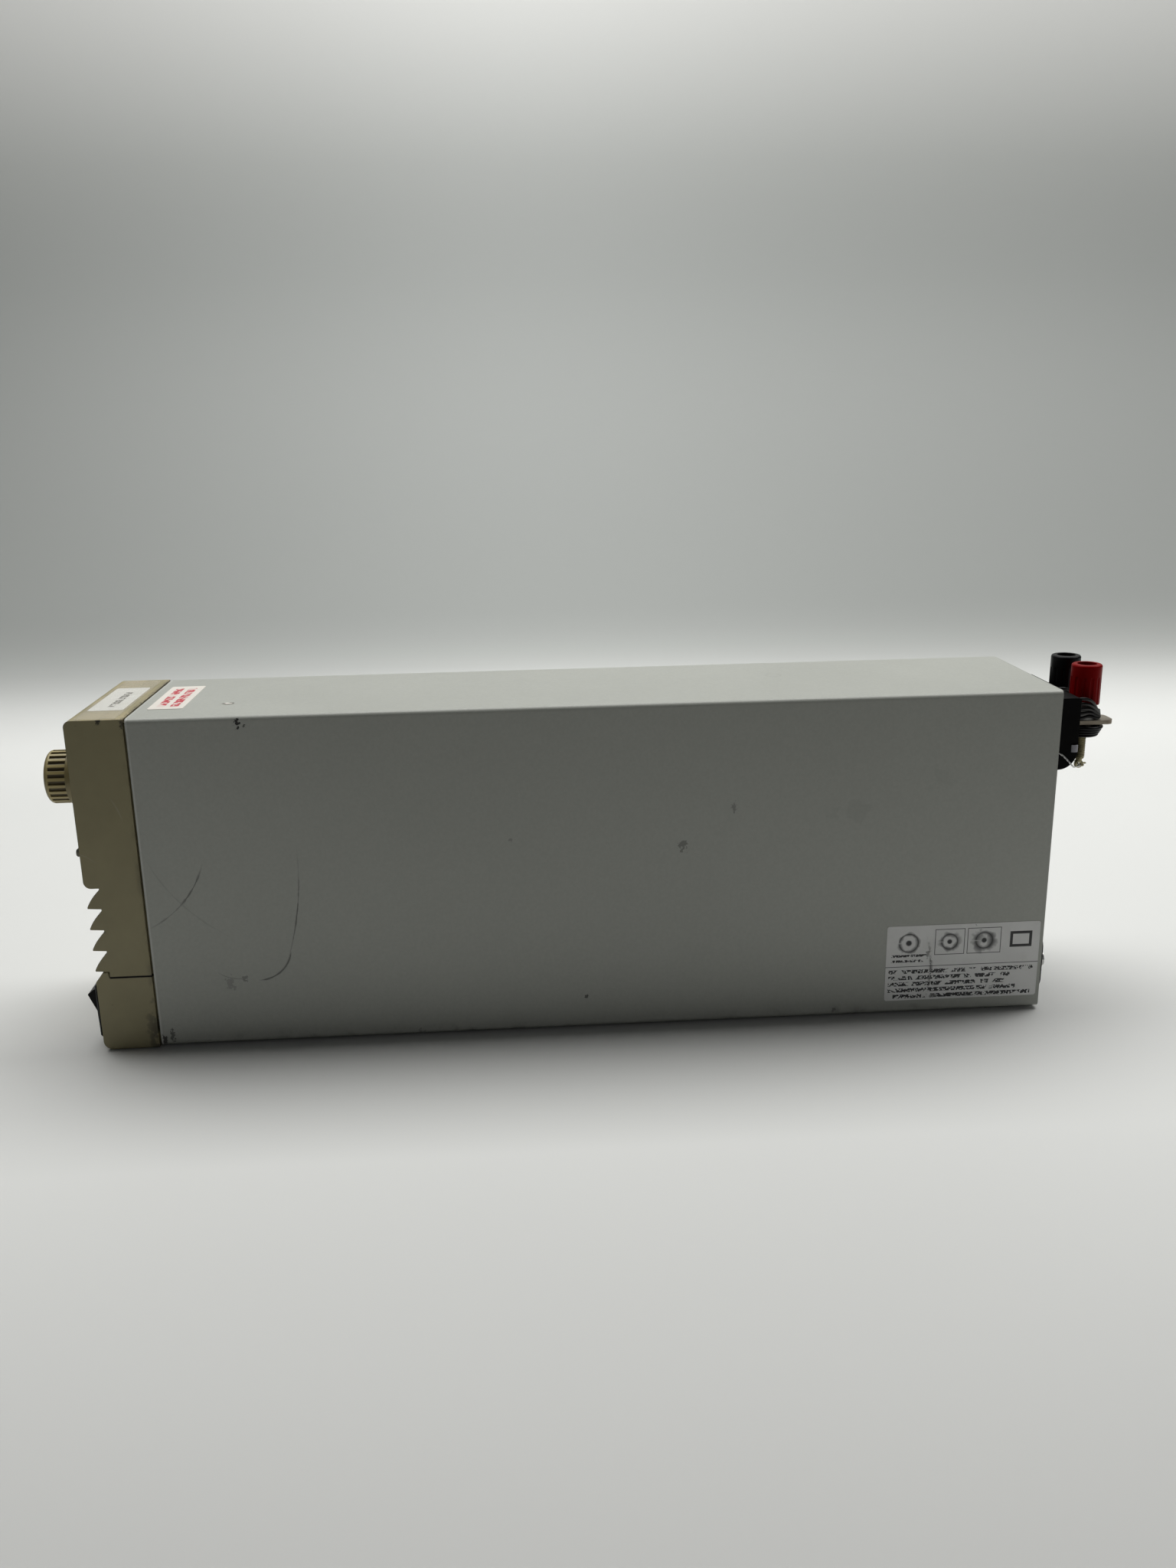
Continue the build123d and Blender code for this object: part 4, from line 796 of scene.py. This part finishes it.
def add_sense_leads(material):
    """Sense leads: strands fanning from the housing to each post, wound above and below its bus bar."""
    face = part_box("terminal_housing")[1][1]
    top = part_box("terminal_housing")[1][2]
    nut_top, bar_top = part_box("post_nuts")[1][2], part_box("busbar_positive")[1][2]
    routes = []
    for x, y in post_places():
        for k in range(5):
            # Strand k leaves the face lower and nearer the post than the one before
            out = 0.0117 - 0.0007 * k
            leave = top - 0.0008 - 0.0021 * k
            meet = bar_top + 0.0038 - 0.00075 * k
            start = [(x + out, face - 0.0003, leave), (x + out, face + 0.0020, leave + 0.0003),
                     (x + out - 0.0028, face + 0.0066, 0.55 * leave + 0.45 * meet + 0.0009)]
            wrap = around(x, y, 0.0056 + 0.0001 * k, 38, 215, meet, bar_top + 0.0010 + 0.0003 * k, 9)
            routes.append(start + wrap)
        for k in range(4):
            # Loops under the bar, each a little tighter than the one above
            radius = 0.0068 - 0.0005 * k
            height = nut_top - 0.0009 - 0.00115 * k
            foot = height - 0.0006 + 0.0003 * k
            loop = around(x, y + 0.0004, radius, -115 + 12 * k, 150 + 8 * k, height, foot, 12)
            routes.append([(x + 0.0034 + 0.0005 * k, face - 0.0003, height + 0.0008)] + loop[1:])
    add_wire("wound_leads", routes, LEAD_R, material, "wire_black", "sense_leads")


def add_eye_wire(material):
    """Bare wire of two twisted strands, from the panel round the housing's side to the near post's eye."""
    eye = (*post_places()[0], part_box("binding_posts")[0][2] + EYE_R)
    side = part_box("terminal_housing")[1][0] + 0.0012
    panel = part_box("rear_panel")[1][1]
    route = [(side, panel, eye[2] + 0.0090), (side, panel + 0.0050, eye[2] + 0.0090),
             (side - 0.0001, panel + 0.0086, eye[2] + 0.0058),
             (side - 0.0004, panel + 0.0112, eye[2] + 0.0028),
             (side - 0.0062, eye[1] - 0.0052, eye[2] + 0.0010),
             (eye[0] + 0.0034, eye[1], eye[2]), (eye[0] - 0.0020, eye[1], eye[2])]
    steps, twist_step = 40, 1.1
    line = smooth_line(route, steps)
    strands = []
    for phase in (0.0, pi):
        points = []
        for k, point in enumerate(line):
            along = Vector(line[min(k + 1, steps)]) - Vector(line[max(k - 1, 0)])
            across = along.cross(Vector((0, 0, 1))).normalized()
            lift = along.cross(across).normalized()
            twist = phase + k * twist_step
            points.append(tuple(Vector(point) + STRAND_R * (cos(twist) * across + sin(twist) * lift)))
        strands.append(points)
    add_wire("twisted_wire", strands, STRAND_R, material, "tinned_wire", "eye_wire")


def smooth_line(points, steps):
    """Evenly numbered points of a smooth line that bends through the pull of the given ones."""
    spans = len(points) - 2
    middles = [tuple((Vector(points[k]) + Vector(points[k + 1])) / 2) for k in range(1, spans)]
    knots = [points[0]] + middles + [points[-1]]
    line = []
    for k in range(steps + 1):
        place = min(k / steps * spans, spans - 1e-6)
        index = floor(place)
        t = place - index
        a, b, c = Vector(knots[index]), Vector(points[index + 1]), Vector(knots[index + 1])
        line.append(tuple((1 - t) ** 2 * a + 2 * t * (1 - t) * b + t * t * c))
    return line


def slab_shape(low, high):
    """A box between two corners, with its upper edges eased."""
    ease = 0.12 * min(high[0] - low[0], high[1] - low[1], high[2] - low[2])
    rings = []
    for z, inset in ((low[2], 0.0), (high[2] - ease, 0.0), (high[2], ease)):
        rings.append([(low[0] + inset, low[1] + inset, z), (high[0] - inset, low[1] + inset, z),
                      (high[0] - inset, high[1] - inset, z), (low[0] + inset, high[1] - inset, z)])
    return loft(rings)


def add_segments(material):
    """Unlit seven-segment figures on the two display modules."""
    low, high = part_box("digit_modules")
    face = low[1] + 0.0003
    middle = (low[0] + high[0]) / 2
    bars = [  # side, level and whether it lies flat
        (0, 1, 1), (0, 0, 1), (0, -1, 1), (-1, 0.5, 0), (1, 0.5, 0), (-1, -0.5, 0), (1, -0.5, 0),
    ]
    reach, rise, lean = 0.0018, 0.0036, 0.12
    flat_length, upright_length, width, thick = 0.0026, 0.0029, 0.0007, 0.00018
    row_inset, figure_step = 0.0058, 0.0075
    shapes = []
    for row in (high[2] - row_inset, low[2] + row_inset):
        for place in range(4):
            figure_x = middle + figure_step * (place - 1.5)
            for side, level, flat in bars:
                slant = lean * level * rise
                cx, cz = figure_x + side * reach + slant, row + level * rise
                half_x, half_z = (flat_length / 2, width / 2) if flat else (width / 2, upright_length / 2)
                corners = (cx - half_x, -cz - half_z, 0.0), (cx + half_x, -cz + half_z, thick)
                verts, faces = slab_shape(*corners)
                shapes.append(([(vx, face - vz, -vy) for vx, vy, vz in verts], faces))
    place_piece(mesh_object("digit_segments", *join_shapes(shapes), smooth=False), material, "digit_plastic")


def add_jack_contacts(material):
    """Eight gold contacts in each control jack."""
    low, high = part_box("comm_jacks")
    middle = (low[0] + high[0]) / 2
    jack_inset, contact_step = 0.0079, 0.00102
    half_width, thick = 0.00022, 0.00035
    shapes = []
    for jack_z in (high[2] - jack_inset, low[2] + jack_inset):
        for k in range(8):
            z = jack_z + (k - 3.5) * contact_step
            rings = []
            for step in range(7):
                t = step / 6
                x = middle - 0.0040 + 0.0026 * t * t
                y = high[1] - 0.0012 - 0.0085 * t
                rings.append([(x, y, z - half_width), (x + thick, y, z - half_width),
                              (x + thick, y, z + half_width), (x, y, z + half_width)])
            shapes.append(loft(rings))
    place_piece(mesh_object("jack_contacts", *join_shapes(shapes), smooth=False), material, "brass")


def add_tape(material):
    """Clear tape over the asset label and across the bezel's top, ragged at its two ends."""
    low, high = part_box("asset_label")
    columns, rows = 44, 10
    y_low, y_high = low[1] - 0.0007, high[1] + 0.0012
    x_low, x_high = -SIDE + 0.0016, SIDE - 0.0012
    thick, clearance = 0.00005, 0.00004
    layers = []
    for lift in (0.0, thick):
        for i in range(columns + 1):
            for j in range(rows + 1):
                u, v = i / columns, j / rows
                tear = 0.0012 * sin(9.0 * v + 1.0) * sin(23.0 * v)
                x = x_low + (x_high - x_low) * u + (tear if i in (0, columns) else 0.0)
                y = y_low + (y_high - y_low) * v
                # Over the label, and 1 mm round it, the tape lies on the label's face
                over = (low[0] - 0.001 < x < high[0] + 0.001) and (low[1] - 0.001 < y < high[1] + 0.001)
                ripple = 0.00004 * (1 + sin(310.0 * x + 900.0 * y) * sin(700.0 * y + 3.0))
                layers.append((x, y, (high[2] if over else TOP) + clearance + ripple + lift))
    count = (columns + 1) * (rows + 1)
    faces = []
    for i in range(columns):
        for j in range(rows):
            a = i * (rows + 1) + j
            quad = (a, a + rows + 1, a + rows + 2, a + 1)
            faces.append(tuple(count + k for k in quad))
            faces.append(tuple(reversed(quad)))
    rim = [i * (rows + 1) for i in range(columns)] + [columns * (rows + 1) + j for j in range(rows)]
    rim += [i * (rows + 1) + rows for i in range(columns, 0, -1)] + list(range(rows, 0, -1))
    for k, here in enumerate(rim):
        after = rim[(k + 1) % len(rim)]
        faces.append((here, after, count + after, count + here))
    place_piece(mesh_object("clear_tape", layers, faces), material, "label_white")


add_camera()
add_stage(floor_white())
materials = dress_frame()
add_posts(materials["post_brass"])
add_sense_leads(materials["wire_black"])
add_eye_wire(materials["tinned_wire"])
add_segments(moulded("segment_grey", (0.30, 0.22, 0.20), 0.35).material)
add_jack_contacts(metal("contact_gold", (0.75, 0.52, 0.18), 0.25))
add_tape(tape())

world = bpy.data.worlds.new("studio")
world.use_nodes = True
world.node_tree.nodes["Background"].inputs["Color"].default_value = (0.94, 0.97, 1.0, 1.0)
world.node_tree.nodes["Background"].inputs["Strength"].default_value = 0.02
bpy.context.scene.world = world
bpy.context.scene.view_settings.view_transform = "Standard"
add_light("overhead", (-0.38, 0.32, 1.30), (-0.38, 0.32, 0.0), (0.76, 2.6), 29.5, (1.0, 1.0, 0.985))
add_light("backdrop_top", (-0.80, 0.0, 1.20), (-1.16, 0.0, 1.05), (0.15, 2.6), 4.5)
add_light("right_fill", (0.95, 1.10, 0.60), (0.0, 0.1, 0.05), (0.5, 0.5), 0.9)
